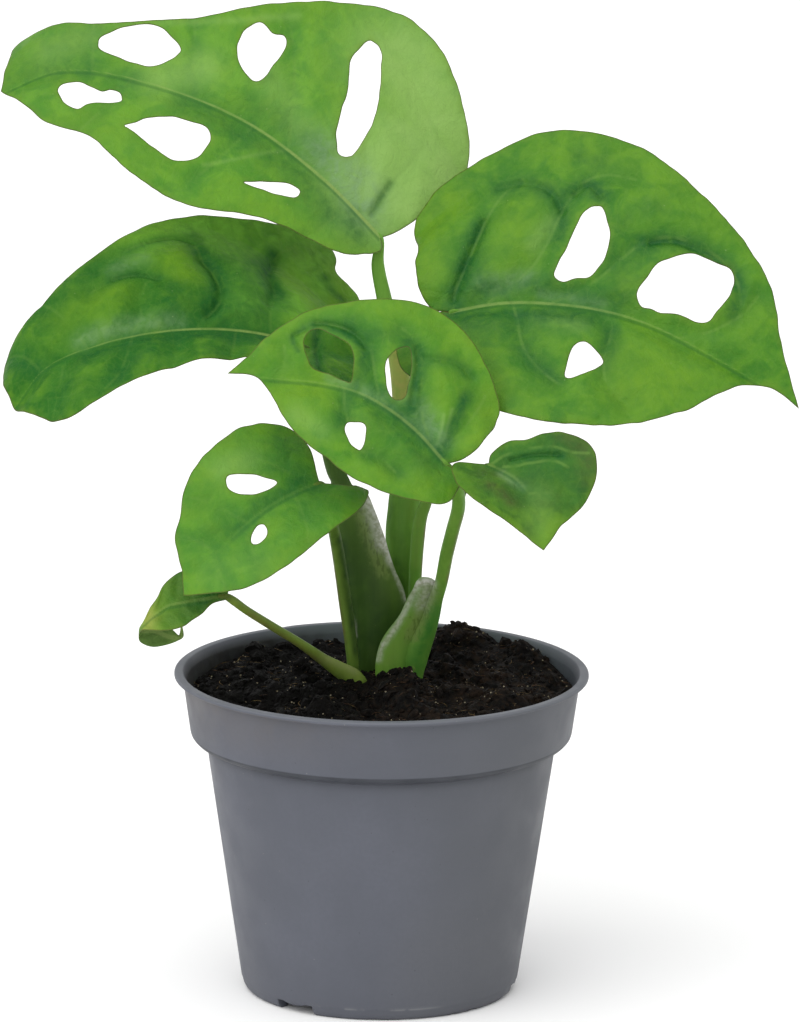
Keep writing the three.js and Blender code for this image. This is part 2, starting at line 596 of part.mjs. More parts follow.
// The blade's outline and holes filled with even triangles: long inner edges are split and the
// diagonals swapped until no corner is needlessly sharp.
function fillOutline(outline, holes, spacing) {
  const points = [...outline, ...holes.flat()];
  const rim = points.length;
  let triangles = THREE.ShapeUtils.triangulateShape(outline, holes);
  const turned = ([a, b, c]) => points[b].clone().sub(points[a]).cross(points[c].clone().sub(points[a]));
  triangles = triangles.map((t) => (turned(t) < 0 ? [t[0], t[2], t[1]] : t));
  const edgesOf = () => {
    const edges = new Map();
    triangles.forEach((t, index) =>
      t.forEach((from, k) => {
        const to = t[(k + 1) % 3];
        const key = from < to ? `${from}_${to}` : `${to}_${from}`;
        if (!edges.has(key)) edges.set(key, []);
        edges.get(key).push({ index, from, to, opposite: t[(k + 2) % 3] });
      }),
    );
    return [...edges.values()];
  };
  const corner = (at, one, two) =>
    Math.abs(points[one].clone().sub(points[at]).angleTo(points[two].clone().sub(points[at])));
  const swapDiagonals = () => {
    for (let pass = 0; pass < 30; pass++) {
      const touched = new Set();
      for (const edge of edgesOf()) {
        if (edge.length < 2) continue;
        const [one, two] = edge;
        if (touched.has(one.index) || touched.has(two.index)) continue;
        const sum = corner(one.opposite, one.from, one.to) + corner(two.opposite, one.from, one.to);
        if (sum <= Math.PI + 1e-6) continue;
        triangles[one.index] = [one.opposite, one.from, two.opposite];
        triangles[two.index] = [two.opposite, one.to, one.opposite];
        touched.add(one.index).add(two.index);
      }
      if (!touched.size) return;
    }
  };
  swapDiagonals();
  for (let pass = 0; pass < 14; pass++) {
    const touched = new Set();
    const long = edgesOf()
      .filter((edge) => edge.length === 2)
      .map((edge) => ({ edge, size: points[edge[0].from].distanceTo(points[edge[0].to]) }))
      .filter(({ size }) => size > 1.45 * spacing)
      .sort((a, b) => b.size - a.size);
    for (const { edge } of long) {
      const [one, two] = edge;
      if (touched.has(one.index) || touched.has(two.index)) continue;
      const middle = points.push(points[one.from].clone().lerp(points[one.to], 0.5)) - 1;
      triangles[one.index] = [one.opposite, one.from, middle];
      triangles[two.index] = [two.opposite, one.to, middle];
      triangles.push([one.opposite, middle, one.to], [two.opposite, middle, one.from]);
      touched.add(one.index).add(two.index);
    }
    swapDiagonals();
    if (!touched.size) break;
  }
  for (let pass = 0; pass < 4; pass++) {
    const sums = points.map(() => ({ total: new THREE.Vector2(), count: 0 }));
    for (const [{ from, to }] of edgesOf()) {
      sums[from].total.add(points[to]);
      sums[to].total.add(points[from]);
      sums[from].count++;
      sums[to].count++;
    }
    sums.slice(rim).forEach(({ total, count }, i) => points[rim + i].lerp(total.divideScalar(count), 0.6));
    swapDiagonals();
  }
  const margin = edgesOf().filter((edge) => edge.length === 1).map(([{ from, to }]) => [from, to]);
  return { points, triangles, margin };
}

// Closes a sheet's upper and lower faces with a strip along its margin
function thicken(faces, triangles, margin) {
  const n = faces.length;
  const closed = triangles.flatMap(([a, b, c]) => [[a, b, c], [n + a, n + c, n + b]]);
  for (const [from, to] of margin) closed.push([from, n + from, n + to], [from, n + to, to]);
  return closedGeometry([...faces.map(([upper]) => upper), ...faces.map(([, lower]) => lower)], closed);
}

function makeBlade(blade) {
  const spacing = 3.4 + blade.length * 0.026;
  const outline = outlineOf(blade, spacing);
  const holes = blade.holes.map((hole) => holeOf(hole, 0.55 * spacing));
  const { points, triangles, margin } = fillOutline(outline, holes, spacing);
  const relief = reliefOf(blade);
  const DELTA = 0.5;
  const faces = points.map(({ x, y }) => {
    const slopeX = (relief(x + DELTA, y) - relief(x - DELTA, y)) / (2 * DELTA);
    const slopeY = (relief(x, y + DELTA) - relief(x, y - DELTA)) / (2 * DELTA);
    const half = (BLADE_THICKNESS / 2) * Math.min(Math.sqrt(1 + slopeX ** 2 + slopeY ** 2), 1.5);
    return [relief(x, y) + half, relief(x, y) - half].map((z) => new THREE.Vector3(x, y, z));
  });
  return thicken(faces, triangles, margin);
}

// The blade that turns back: a sheet through its back margin, midrib and front margin
function makeCurledBlade({ stations, rows, columns }) {
  const rails = [0, 1, 2].map((n) => {
    const points = stations.map((station) => new THREE.Vector3(...station[n]));
    return new THREE.CatmullRomCurve3(points, false, "centripetal");
  });
  const wide = 2 * columns + 1;
  const sheet = [];
  for (let i = 0; i <= rows; i++) {
    const [back, middle, front] = rails.map((rail) => rail.getPoint(i / rows));
    for (let j = -columns; j <= columns; j++) {
      sheet.push(middle.clone().lerp(j < 0 ? back : front, Math.abs(j) / columns));
    }
  }
  const within = (value, most) => THREE.MathUtils.clamp(value, 0, most);
  const at = (i, j) => sheet[within(i, rows) * wide + within(j, wide - 1)];
  const faces = sheet.map((point, index) => {
    const i = Math.floor(index / wide);
    const j = index % wide;
    const along = at(i + 1, j).clone().sub(at(i - 1, j));
    const across = at(i, j + 1).clone().sub(at(i, j - 1));
    const normal = along.cross(across).normalize();
    return [0.5, -0.5].map((share) => point.clone().addScaledVector(normal, share * BLADE_THICKNESS));
  });
  const triangles = [];
  for (let i = 0; i < rows; i++) {
    for (let j = 0; j < wide - 1; j++) {
      const corner = i * wide + j;
      triangles.push([corner, corner + wide, corner + 1], [corner + 1, corner + wide, corner + wide + 1]);
    }
  }
  const margin = [];
  for (let i = 0; i < rows; i++) {
    margin.push([i * wide, (i + 1) * wide], [(i + 2) * wide - 1, (i + 1) * wide - 1]);
  }
  for (let j = 0; j < wide - 1; j++) margin.push([j + 1, j], [rows * wide + j, rows * wide + j + 1]);
  return thicken(faces, triangles, margin);
}

function placeBlade(mesh, { place, turn }) {
  mesh.position.set(...place);
  mesh.rotation.set(radians(turn.roll), -radians(turn.rise), radians(turn.heading), "ZYX");
  return mesh;
}

const plant = new THREE.Group();
plant.name = "potted_monstera_obliqua";
plant.add(meshOf("pot", makePot(), "pot"));

const feet = PETIOLES.map(({ sections }) => makeStalk(sections, CLEAR));
plant.add(meshOf("soil", makeSoil(feet), "soil"));

for (const { name, sections } of PETIOLES) {
  plant.add(meshOf(`petiole_${name}`, makeStalk(sections), "petiole"));
}

for (const blade of BLADES) {
  plant.add(placeBlade(meshOf(`blade_${blade.name}`, makeBlade(blade), blade.colour), blade));
}
plant.add(meshOf(`blade_${CURLED.name}`, makeCurledBlade(CURLED), CURLED.colour));

export default plant;
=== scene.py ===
"""A young potted Monstera obliqua: seven leaves on upright stalks, in dark soil, in a grey nursery pot.

Sizes are millimetres until a mesh is made. +Z is up, and -Y is the plant's front.
"""

import math

import bmesh
import bpy
import numpy as np
from mathutils import Matrix, Vector
from mathutils.geometry import delaunay_2d_cdt


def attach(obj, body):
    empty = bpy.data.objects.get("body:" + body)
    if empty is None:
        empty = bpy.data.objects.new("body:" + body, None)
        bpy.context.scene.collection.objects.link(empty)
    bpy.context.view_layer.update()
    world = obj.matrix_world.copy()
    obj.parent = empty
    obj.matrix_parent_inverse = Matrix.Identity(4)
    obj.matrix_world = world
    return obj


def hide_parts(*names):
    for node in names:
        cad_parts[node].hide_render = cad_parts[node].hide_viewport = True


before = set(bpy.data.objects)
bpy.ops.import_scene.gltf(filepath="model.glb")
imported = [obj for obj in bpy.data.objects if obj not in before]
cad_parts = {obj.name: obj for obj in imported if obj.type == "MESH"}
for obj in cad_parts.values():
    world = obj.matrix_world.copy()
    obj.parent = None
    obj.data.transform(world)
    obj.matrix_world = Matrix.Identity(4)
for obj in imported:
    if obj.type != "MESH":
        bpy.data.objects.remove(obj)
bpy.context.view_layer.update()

MM = 0.001
SEED = 7
LIGHT_GAIN = 1.5
GOLDEN_ANGLE = math.pi * (3 - math.sqrt(5))

# Pot

RIM_DIAMETER = 120
POT_HEIGHT = 94
WALL = 1.2
LIP_WIDTH = 2.4
LIP_THICKNESS = 1.2
BAND_TOP_RADIUS = 57.5
BAND_BOTTOM_RADIUS = 55.3
BAND_BOTTOM = 76.7
BODY_TOP_RADIUS = 50.6
BODY_TOP = 73.2
BODY_BOTTOM_RADIUS = 40.2
FOOT_RADIUS = 38.3
FOOT_WIDTH = 2.8
FOOT_HEIGHT = 3
FOOT_GAP = 12.5
FOOT_GAPS = 3
FOOT_GAP_FIRST = 232
PAD_RADIUS = 9
DRAIN_RADIUS = 3.2
DRAIN_CIRCLE = 27
DRAINS = 6
POT_SIDES = 192
CORNER = 0.35

# Small knocks along the lip's edge and scuffs under the foot: where around the pot in degrees, how wide
# in degrees and how deep.
LIP_KNOCKS = [(254, 3.2, 0.35), (258, 1.6, 0.25), (286, 1.2, 0.15), (203, 2, 0.2), (120, 2, 0.2)]
FOOT_SCUFFS = [(340, 2.2, 0.5), (314, 1.6, 0.35), (304, 1.2, 0.3), (268, 4, 0.2)]

# Soil. Each mound is x, y, height and size, and each crop of lumps is a count with the range of their
# sizes and the range of their heights as a share of the size.

SOIL_LEVEL = 88.5
SOIL_RADIUS = 55.4
SOIL_FOOT_RADIUS = 38
SOIL_FOOT = 8
SOIL_SHOULDER = 72
SOIL_SIDES = 240
SOIL_RINGS = 84
MOUNDS = [(5, -6, 8, 8), (10, -13, 3.4, 5), (0, -17, 3, 5), (7, -24, 3, 4.5), (-7, -22, -2, 5),
          (18, -14, -1.6, 5), (-18, -12, 1.2, 12), (26, -22, 2, 16), (-38, 8, 1.5, 14), (17, 50, 6.5, 9),
          (28, 45, 5, 9), (40, 30, 3, 12)]
LUMPS = [(120, (2.6, 5), (0.35, 0.75)), (800, (1.0, 2.4), (0.25, 0.7))]
LUMPS_REACH = 54.5

# Leaves

LEAF_THICKNESS = 0.45
LEAF_MARKS = ("deep", "pale", "warm", "sheen", "brown", "lit", "straw")
STALK_MARKS = ("deep", "light", "straw", "membrane", "fleck", "red", "blush", "teal")

# A blade lies in its own frame: x runs along the chord from the stalk to the tip, y across it and z out
# of the upper face. place is where the stalk meets it, and turn is its heading, rise and roll. sides are
# its margins, as curves from the notch at the stalk to the tip. grid is the size of its triangles. arch,
# droop and curl bend it along the midrib, towards the tip and towards the margin. rise is the slope of
# each half away from the midrib, +y half first, and swell is how high it bulges between the veins.
# laterals are where plain side veins leave the midrib on each half, loop is how far they run forward at
# the margin, and traced holds side veins with a course of their own. A crease is a short sharp fold:
# depth, width and a line. vein_pale and rib_pale say how clearly veins and midrib show, and rib_end how
# far along the midrib does. low_side is the half on which painted shade runs beside the midrib, 1 for
# the +y one. Marks are soft patches of colour by kind, each with its reach, its strength and its line.
# deep marks are painted shade in folds and hollows, lit is painted light on shaded parts, sheen is a
# painted sheen, and pale is partly a paler green of the leaf and partly a painted highlight on ridges.
BLADES = {}
BLADES["upper_left"] = dict(
    place=(-1, 24, 217), turn=(170, 19, -53), length=119, half_width=46, grid=0.62, arch=9, droop=3,
    rise=(0.25, 0.12), curl=4, swell=1, loop=12, laterals=([12, 46, 84], [8, 34, 66, 96]), vein_pale=0.28,
    rib_pale=0.85, rib_end=1.6, gloss=0.14, low_side=1,
    midrib=[(22, -8.5), (49, -15), (80, -15.5), (105, -11.5)],
    sides=[
        [
            (0, 0), (-1.5, 3.5), (1.5, 7.5), (9.5, 11.5), (26.5, 12), (37.5, 14), (50, 18), (59, 18.2),
            (70, 16), (81.5, 11), (89.5, 7.2), (101, 7.2), (110.5, 2.5), (119, -1),
        ],
        [
            (0, 0), (-4.5, -5), (-11.5, -18), (-14.8, -30), (-10.5, -43), (3, -59), (18, -65), (34, -62),
            (54.5, -52), (73, -40), (93.5, -31), (108.5, -26.5), (116, -22.5), (121, -16), (119, -1),
        ],
    ],
    holes=[
        [
            (97.5, -23), (97, -25.5), (92, -30), (84, -33), (79, -31.5), (74.5, -28.5), (74.5, -26.5),
            (76, -24), (80, -20.5), (90, -20), (96, -21),
        ],
        [
            (58.5, -33.5), (59.5, -36.5), (59, -41), (56, -44.5), (51.5, -43), (48, -43.5), (46.5, -40.5),
            (47.5, -33.5), (49, -28.5), (51, -27), (53.5, -28), (56.5, -30),
        ],
        [
            (21.5, -19), (23.5, -23.5), (25, -35.5), (27, -42.5), (27.5, -47), (25.5, -53), (23.5, -53.5),
            (21.5, -52.5), (19.5, -49), (16, -37.5), (15, -31.5), (16, -20), (17.5, -17.5), (20, -17),
        ],
        [
            (102.5, -4), (102.5, -6.5), (100.5, -8), (97, -9), (91, -8), (88.5, -9.5), (86, -9.5),
            (84.5, -8), (84.5, -6.5), (90, -4), (93, -2.5), (95, 0), (99.5, -1),
        ],
        [
            (80, 1), (77.5, -1), (75, -3.5), (69, -7), (64, -7.5), (60, -8), (57.5, -7.5), (55.5, -5),
            (55.5, -2.5), (57.5, 3.5), (63, 6.5), (70, 4.5), (74.5, 3), (78.5, 1.5),
        ],
        [
            (41.5, 4.5), (38, 2.5), (33.5, 0), (30, -1.5), (27, -1.5), (26, -0.5), (26.5, 1.5),
            (28.5, 2.5), (34.5, 4),
        ],
    ],
    traced=[[(3, -1), (4.7, -4), (3.5, -12), (2.5, -18), (-1, -32)]],
    creases=[(0.7, 1, (5, -5), (4.4, -10), (3.6, -16)), (0.8, 3.5, (100, -26), (80, -35), (60, -45))],
    marks=dict(
        sheen=[(4.8, 1, (26, -15.8), (19, -12.5), (12, -8), (7, -4.5)), (5, 0.7, (13, -14), (8, -9))],
        pale=[
            (15, 1, (14, -52), (0, -42), (-8, -29), (-5, -14), (4, -28)),
            (10, 0.9, (-6, -28), (0, -16), (8, -8.5)), (6, 0.7, (9, -12), (12, -20)),
            (0.6, 0.3, (54, 4), (45, -3), (35, -11.5)), (6, 0.5, (66, -25), (77, -17)),
            (5, 0.35, (110, -16), (101, -24)), (5, 0.35, (48, -30), (40, -24), (34, -20)),
            (1.2, 0.32, (94, -28.5), (80, -35.5), (62, -43), (47, -51)),
        ],
        deep=[
            (10, 0.3, (118, -8), (106, -18)), (3.5, 0.4, (49, -20.5), (33, -17.5), (24, -15)),
            (3, 0.35, (110, -9), (98, -13), (84, -15)), (1.3, 0.7, (3.6, -16), (4.4, -10), (5, -5.5)),
            (5, 0.6, (8, 3), (20, -1.5), (34, -7), (50, -11), (66, -12.5)), (2.5, 0.5, (10, -3), (6, 4)),
            (1.5, 0.4, (52, -27), (47, -30)),
        ],
        warm=[
            (6, 0.6, (92, 3.5), (82, 5)), (5, 0.4, (40, -58), (60, -46)),
            (4, 0.4, (6, 9), (20, 9), (44, 11)),
        ],
    ),
)
BLADES["left"] = dict(
    place=(-22, 8, 188), turn=(-169, -9, -39), length=87, half_width=36, grid=0.55, arch=12, droop=3,
    rise=(0.35, 0.15), curl=5, swell=1.9, loop=12, laterals=([20, 36, 70], [63, 77]), vein_pale=0.24,
    rib_pale=0.8, rib_end=1.5, gloss=0.05, low_side=1,
    midrib=[(11, -3), (30, -5.5), (61, -7.3), (76, -7)],
    sides=[
        [
            (2, 4.5), (5, 7), (8.5, 9), (26.5, 9), (41.5, 10), (50.5, 12), (59, 13.2), (64, 14.4),
            (69, 15.8), (73, 15.6), (77, 13.8), (80.5, 10.3), (83.4, 6), (86.2, 1.5), (87, -3),
        ],
        [
            (2, 4.5), (3.5, 8.5), (3.5, 13), (1, 17), (-4, 18), (-9.5, 15.5), (-15, 7), (-19, -5),
            (-21.5, -18), (-22, -27.5), (-20, -31), (-17, -34.5), (-18.2, -40), (-16, -44), (-7.5, -46.5),
            (5, -47.2), (20, -48), (31, -47), (41.5, -44), (61, -34), (76.5, -25.5), (84, -19.5),
            (87.5, -11), (87, -3),
        ],
    ],
    holes=[],
    traced=[
        [(10, -3.5), (8, -12), (5, -19), (5.5, -25), (3.5, -31), (0.5, -35.5), (-6, -40)],
        [
            (31, -6), (28, -9.5), (25, -12), (22, -15.5), (21.3, -20), (22, -25.5), (24, -30), (24.5, -35),
            (27.5, -38.5), (33, -39.5), (39.5, -38.5), (46, -36.5), (54, -32),
        ],
        [(50, -7.5), (46, -13), (45, -19), (41, -24.5), (38, -24)],
        [(38, -24), (41, -26), (45.3, -27.5), (50, -27.5), (54, -26.5), (58, -25)],
        [(2, 5), (-4, -2), (-8, -12), (-12, -22)],
        [(50, -7), (53, 0), (57, 7), (62, 11)],
    ],
    creases=[
        (1.3, 1.5, (8, -15), (5.3, -21), (5.5, -26), (3.5, -31), (1, -35)),
        (1.4, 1.5, (27, -10.5), (23.5, -13.5), (21.3, -19), (21.8, -25), (24, -30)),
        (0.7, 0.8, (38.5, -24.5), (42, -26.5), (46, -27.6), (51, -27.3)),
        (0.6, 0.6, (25, -36.5), (30, -39), (38, -38.7)), (1, 1, (-5, -8), (-3, -1.5), (-2, 5), (-1, 12.5)),
    ],
    marks=dict(
        lit=[
            (11, 0.9, (36, -45), (12, -46), (-5.5, -44), (-17, -37)),
            (8, 0.9, (-6.5, -35), (-14, -29), (-15.5, -22)), (9, 0.7, (14, -32), (13, -16)),
            (7, 0.9, (-3, -28), (-1, -12)),
        ],
        deep=[
            (1.6, 1, (-5, -8), (-3, -1.5), (-2, 5), (-1, 12.5)),
            (1.8, 0.8, (-13, -31), (-13.5, -27.5), (-16.5, -25)),
            (2.6, 1, (1.5, -35.5), (4.5, -29.5), (5.2, -24), (4, -18.5)),
            (5, 0.5, (8, -27), (7.5, -19), (5, -14)),
            (3, 1, (23.5, -33), (21.8, -28), (21, -23), (22.5, -17), (25.5, -11.5)),
            (8, 0.6, (17, -26), (14, -17), (15, -11)), (5, 0.55, (30, -14), (36, -10.5), (24, -9)),
            (3, 0.5, (26, -35), (24, -39)), (1.3, 0.5, (26, -37.5), (31, -39.3), (38, -38.5), (45, -36.5)),
            (1.2, 0.8, (38, -24.5), (42, -26.5), (47, -27.6), (52, -27.2)), (3, 0.5, (34, -20), (36, -15)),
            (3, 0.95, (12, -0.5), (28, -2.6), (40, -3.4), (52, -4), (64, -3.6)),
            (3, 0.6, (47, 3), (53, 4), (57, 8)), (3, 0.7, (84, -14), (80, -10), (77, -7)),
            (6, 0.4, (64, -30), (56, -32), (50, -35)), (7, 0.25, (72, 7), (56, 9)),
            (8, 0.22, (80, -20), (70, -28)),
        ],
        warm=[
            (4, 0.7, (2, -6), (3, 2)), (5, 0.8, (-1, -27), (-5, -20), (-8, -14)),
            (3, 1, (-14, -22), (-18, -28), (-17, -33)), (5, 0.8, (29, -33), (34, -30), (30, -24)),
            (5, 0.7, (66, -20), (58, -22), (50, -22)), (3.5, 0.6, (52, -40), (44, -42), (32, -45)),
        ],
        sheen=[
            (2.6, 0.6, (36, -8.6), (46, -10), (56, -10.5), (64, -10.5)),
            (2.2, 0.5, (50, -30.5), (46, -31.5), (41, -31.5)),
        ],
        brown=[(6, 0.35, (-6, -38), (-14, -39))],
    ),
)
BLADES["middle"] = dict(
    place=(18, -40, 165), turn=(168, 20, -58), length=68, half_width=27, grid=0.5, arch=4, droop=1,
    rise=(0.15, 0.15), curl=2.5, swell=2.3, loop=8, laterals=([], []), vein_pale=0.36, rib_pale=0.45,
    rib_end=1.5, gloss=0.14, low_side=1,
    midrib=[(13, -5.5), (28, -8.3), (40, -7.1), (57, -2.4)],
    sides=[
        [
            (0, 0), (-3, 0.5), (-6, 3), (-5.5, 10), (-0.5, 13.3), (10, 15.7), (21.5, 16), (31, 14),
            (41.5, 11), (46.5, 8), (52, 3.5), (56.5, 0), (60.5, -1.8), (68, 0),
        ],
        [
            (0, 0), (-4.5, -4), (-6.5, -8), (-7.8, -17.5), (-6.5, -23), (4, -33.5), (16, -39), (28, -39),
            (40.5, -34), (54.5, -24.5), (61.5, -13.5), (64, -7), (68, 0),
        ],
    ],
    holes=[
        [
            (51, -16), (51, -19), (49.5, -20.5), (47, -21), (40.5, -20), (38, -19), (36, -16.5),
            (34, -10.5), (36, -10), (40, -10), (44, -9.5), (46.5, -10), (49, -12.5),
        ],
        [
            (26, -16.5), (27, -19.5), (26.5, -22), (25, -24.5), (23, -26), (21, -23), (19.5, -19.5),
            (18.3, -13), (19.5, -11), (22, -11), (24.5, -13.5),
        ],
        [(29.5, 4), (30, 1.5), (28, 0.5), (26, 0), (24.5, 1), (23.5, 4), (23.5, 7), (24.5, 7.5), (27, 7)],
    ],
    traced=[
        [(1, -1), (0.8, -6), (-0.5, -12), (-1.8, -18), (-2, -23)],
        [
            (7, -4), (9, -6.5), (11, -8.5), (13, -12.5), (15, -17), (17, -21.5), (18.7, -25), (22, -28.5),
            (27, -30.5),
        ],
        [
            (22, -8.5), (25, -10), (26.7, -12), (29, -15.5), (32, -20.3), (34.5, -22.8), (38, -23.8),
            (44, -24), (51, -22.5), (54, -18.5),
        ],
        [(35, -7.8), (33, -3), (30.5, 0.5)],
        [(23, 7.5), (18, 7), (12, 9)],
        [(53, -4), (54, -9), (56, -13)],
    ],
    creases=[
        (0.7, 1, (3.5, -26.3), (9, -27.7), (14, -26.2), (18, -25.3)),
        (0.6, 0.6, (52, -19.5), (54.5, -16), (51, -13)),
        (0.9, 0.9, (50, -22.5), (44, -24), (38, -23.3), (34.3, -21)),
        (0.8, 0.8, (21, -27), (18.6, -22), (17.2, -16), (15.8, -11.5)),
    ],
    marks=dict(
        deep=[
            (1, 0.7, (53, -19.8), (54.8, -16), (51.5, -12.8)),
            (2, 1, (50.5, -21.3), (46, -23.2), (39.5, -22.8), (35.5, -21.2), (33, -19)),
            (3, 0.6, (41, -26), (34, -25), (28, -27.5)), (2.2, 0.7, (33.5, -19), (33.3, -14), (32, -10.5)),
            (1.9, 1, (23.5, -27.5), (20, -26), (18, -21), (16.3, -15), (15.2, -10)),
            (4, 0.5, (17, -13), (13, -9), (18, -9)),
            (1.7, 1, (2.6, -20.5), (2.6, -14), (2.4, -8), (2.8, -2)),
            (1.6, 0.8, (3, -2.2), (10, -4.4), (20, -7.3), (27, -6.8)),
            (6, 0.6, (6, 1), (14, -2), (22, -4)), (2.6, 0.8, (32.5, -5), (32.5, 0), (31.5, 3)),
            (2, 0.5, (22, 8.2), (16, 8), (11, 9)), (2.4, 0.6, (15, -26), (9, -27.5), (4.5, -26)),
            (2, 0.7, (31.5, -17), (28.5, -12), (25, -11)), (2.5, 0.5, (24, -24.5), (20, -20)),
        ],
        warm=[
            (4, 1, (-3.5, -7), (-5.2, -16), (-3, -24)), (7, 0.9, (42, -3.5), (47, -1.5)),
            (6, 0.6, (14, 11), (2, 10)), (5, 0.6, (58, -13), (51, -28), (30, -36), (10, -34)),
            (2.4, 0.6, (36, -18.5), (34.5, -13)), (5, 0.6, (11, -22), (9, -16)),
        ],
        sheen=[
            (2.6, 0.9, (12, -8.5), (8, -6.6), (4, -6)),
            (1, 0.7, (3, -2.2), (10, -4.9), (20, -7.9), (30, -9)),
            (2.2, 0.5, (19, -12), (13, -12), (9, -10)), (1.6, 0.5, (24, -10), (31, -9.7), (40, -9)),
        ],
        pale=[
            (3, 0.35, (36, 7), (44, 6)), (0.5, 0.5, (4.6, -3.6), (5, -8), (6, -12)),
            (0.45, 0.45, (3, -3), (3.7, -9), (4.5, -14.5)),
            (0.5, 0.4, (17.6, -12), (19, -18.5), (21, -24)),
        ],
    ),
)
BLADES["upper_right"] = dict(
    place=(19, 2, 200), turn=(-9, -13, 54), length=104, half_width=48, grid=0.62, arch=7, droop=2,
    rise=(0.18, 0.22), curl=5, swell=2.4, loop=18, laterals=([], []), vein_pale=0.42, rib_pale=0.6,
    rib_end=1.6, gloss=0.14, low_side=-1,
    midrib=[(14, 5.5), (28, 8.4), (43, 9.9), (58, 9.2), (82, 4.5)],
    sides=[
        [
            (0, 0), (-5, -0.2), (-9, 3), (-11.8, 6.8), (-13.9, 12), (-14.3, 16.5), (-16, 20.5),
            (-17.9, 25), (-17.6, 30.5), (-14, 38.5), (-6.5, 46.3), (1.5, 53), (10, 59), (21, 62), (32, 62),
            (44, 59.5), (60, 51.5), (75.5, 41.5), (87, 30.5), (93, 18), (97, 10.5), (104, 0),
        ],
        [
            (0, 0), (-5, -1.5), (-10.5, -9), (-11.5, -16), (-7, -22.5), (0, -25.7), (11, -28.5), (27, -30),
            (40, -29.5), (58, -25), (73, -15.5), (81.5, -6), (88, 0.2), (95, 2.6), (104, 0),
        ],
    ],
    holes=[
        [
            (26.5, 15.8), (26.5, 19), (27.5, 25), (29, 34.5), (30.5, 38), (32.5, 39), (34.5, 38.5),
            (38, 32.5), (39, 29), (39, 25.5), (38, 22), (36, 18.5), (33, 17), (29.5, 15),
        ],
        [
            (51, 15.5), (51, 18), (52.5, 22), (53.5, 25.5), (56, 28.5), (62.5, 32.5), (66.5, 33),
            (74.5, 32), (76.5, 25), (74, 18), (72.5, 15), (69.5, 13.5), (66, 13.7), (63, 14), (59, 13.2),
            (56, 13.6), (53, 13.5),
        ],
        [
            (38, -14), (37.5, -10.5), (38, -5), (39.5, -2.5), (42, -2.5), (47, -6), (46, -9), (44, -11.5),
            (41.5, -13.5), (39.5, -14.5),
        ],
    ],
    traced=[
        [(0.5, 1), (-0.5, 6), (0.5, 14), (1.5, 22), (2.5, 30), (5, 38), (9, 44)],
        [
            (10, 4.8), (15, 11), (19.5, 18), (21.5, 25), (22.5, 32), (24, 40), (27, 46.5), (33, 50),
            (41, 50.5),
        ],
        [
            (28, 9), (34, 13), (39, 19), (43, 25), (47, 31), (51, 34.5), (57, 36.5), (64, 36), (71, 34),
            (77, 29.5), (80, 23),
        ],
        [(66, 8), (74, 12.5), (81, 20), (84, 27)],
        [(17, 6), (20, 0), (24, -8), (30, -13.5), (37, -17)],
        [(44, 9.7), (47, 3), (47, -5), (50, -13), (57, -18)],
    ],
    creases=[
        (1.2, 1.4, (0.2, 4), (0.3, 12), (1.2, 21), (2, 29)),
        (1.3, 1.2, (50.5, 33), (57, 35), (64, 34.5), (71, 32.5), (76, 28.5)),
        (1, 1.2, (3, 40), (9, 42.5), (15, 42), (20, 39.5), (23, 36)),
        (1, 1, (25.5, 42), (28.5, 45.5), (33, 42)),
    ],
    marks=dict(
        deep=[
            (2.6, 1, (0.6, 2.5), (0.2, 12), (0.4, 20), (1, 27)), (4.5, 0.5, (3.5, 8), (4, 16)),
            (3.4, 0.9, (0.5, -1), (6.5, -1.5), (16, 0.8), (28, 4), (40, 6)), (6, 0.45, (8, -5), (22, -2)),
            (3.2, 0.7, (6, 8), (14, 9.5), (22, 12.5), (34, 12.5), (46, 13)),
            (2.6, 1, (48, 31.5), (53, 34), (60, 35.2), (67, 34.3), (73, 32)),
            (1.8, 0.8, (24, 42), (28, 43.5), (33, 42.5)), (5, 0.4, (46, 24), (50, 30)),
            (2.2, 0.9, (76.5, 30.5), (79, 25), (78.5, 19)), (2.8, 1, (24, 42), (28.5, 45.6), (33, 42.5)),
            (3, 0.5, (24, 54), (30, 53.5)), (3.2, 0.75, (3, 40), (10, 42.3), (17, 41)),
            (2.6, 0.8, (19, 40), (23.5, 35), (24.5, 28)), (3, 0.4, (41, 34), (44, 40), (50, 43)),
            (2.6, 0.8, (46.5, 4), (47.5, -3), (47.5, -7)), (3, 0.7, (24, -9), (30, -13), (35, -16)),
            (5, 0.35, (50, 16), (44, 20), (40, 28)),
        ],
        warm=[
            (6, 0.8, (-11, 8), (-12.5, 22), (-10, 34)), (9, 0.8, (54, -4), (67, -7), (56, -14)),
            (6, 0.5, (70, 16), (87, 21)), (7, 0.4, (20, 57), (44, 54), (66, 42)),
            (6, 0.7, (10, 32), (13, 25), (15, 20)), (3, 0.5, (46, 20), (48, 14.5)),
            (5, 0.4, (12, -20), (30, -24)),
        ],
        sheen=[(2.6, 0.7, (7, 9.5), (13, 11), (19, 14.5)), (1.4, 0.6, (24, 10.5), (33, 11.3), (42, 11.8))],
        pale=[(2.5, 0.4, (18, 24), (21, 32)), (3, 0.35, (26, 3), (38, 3))],
    ),
)
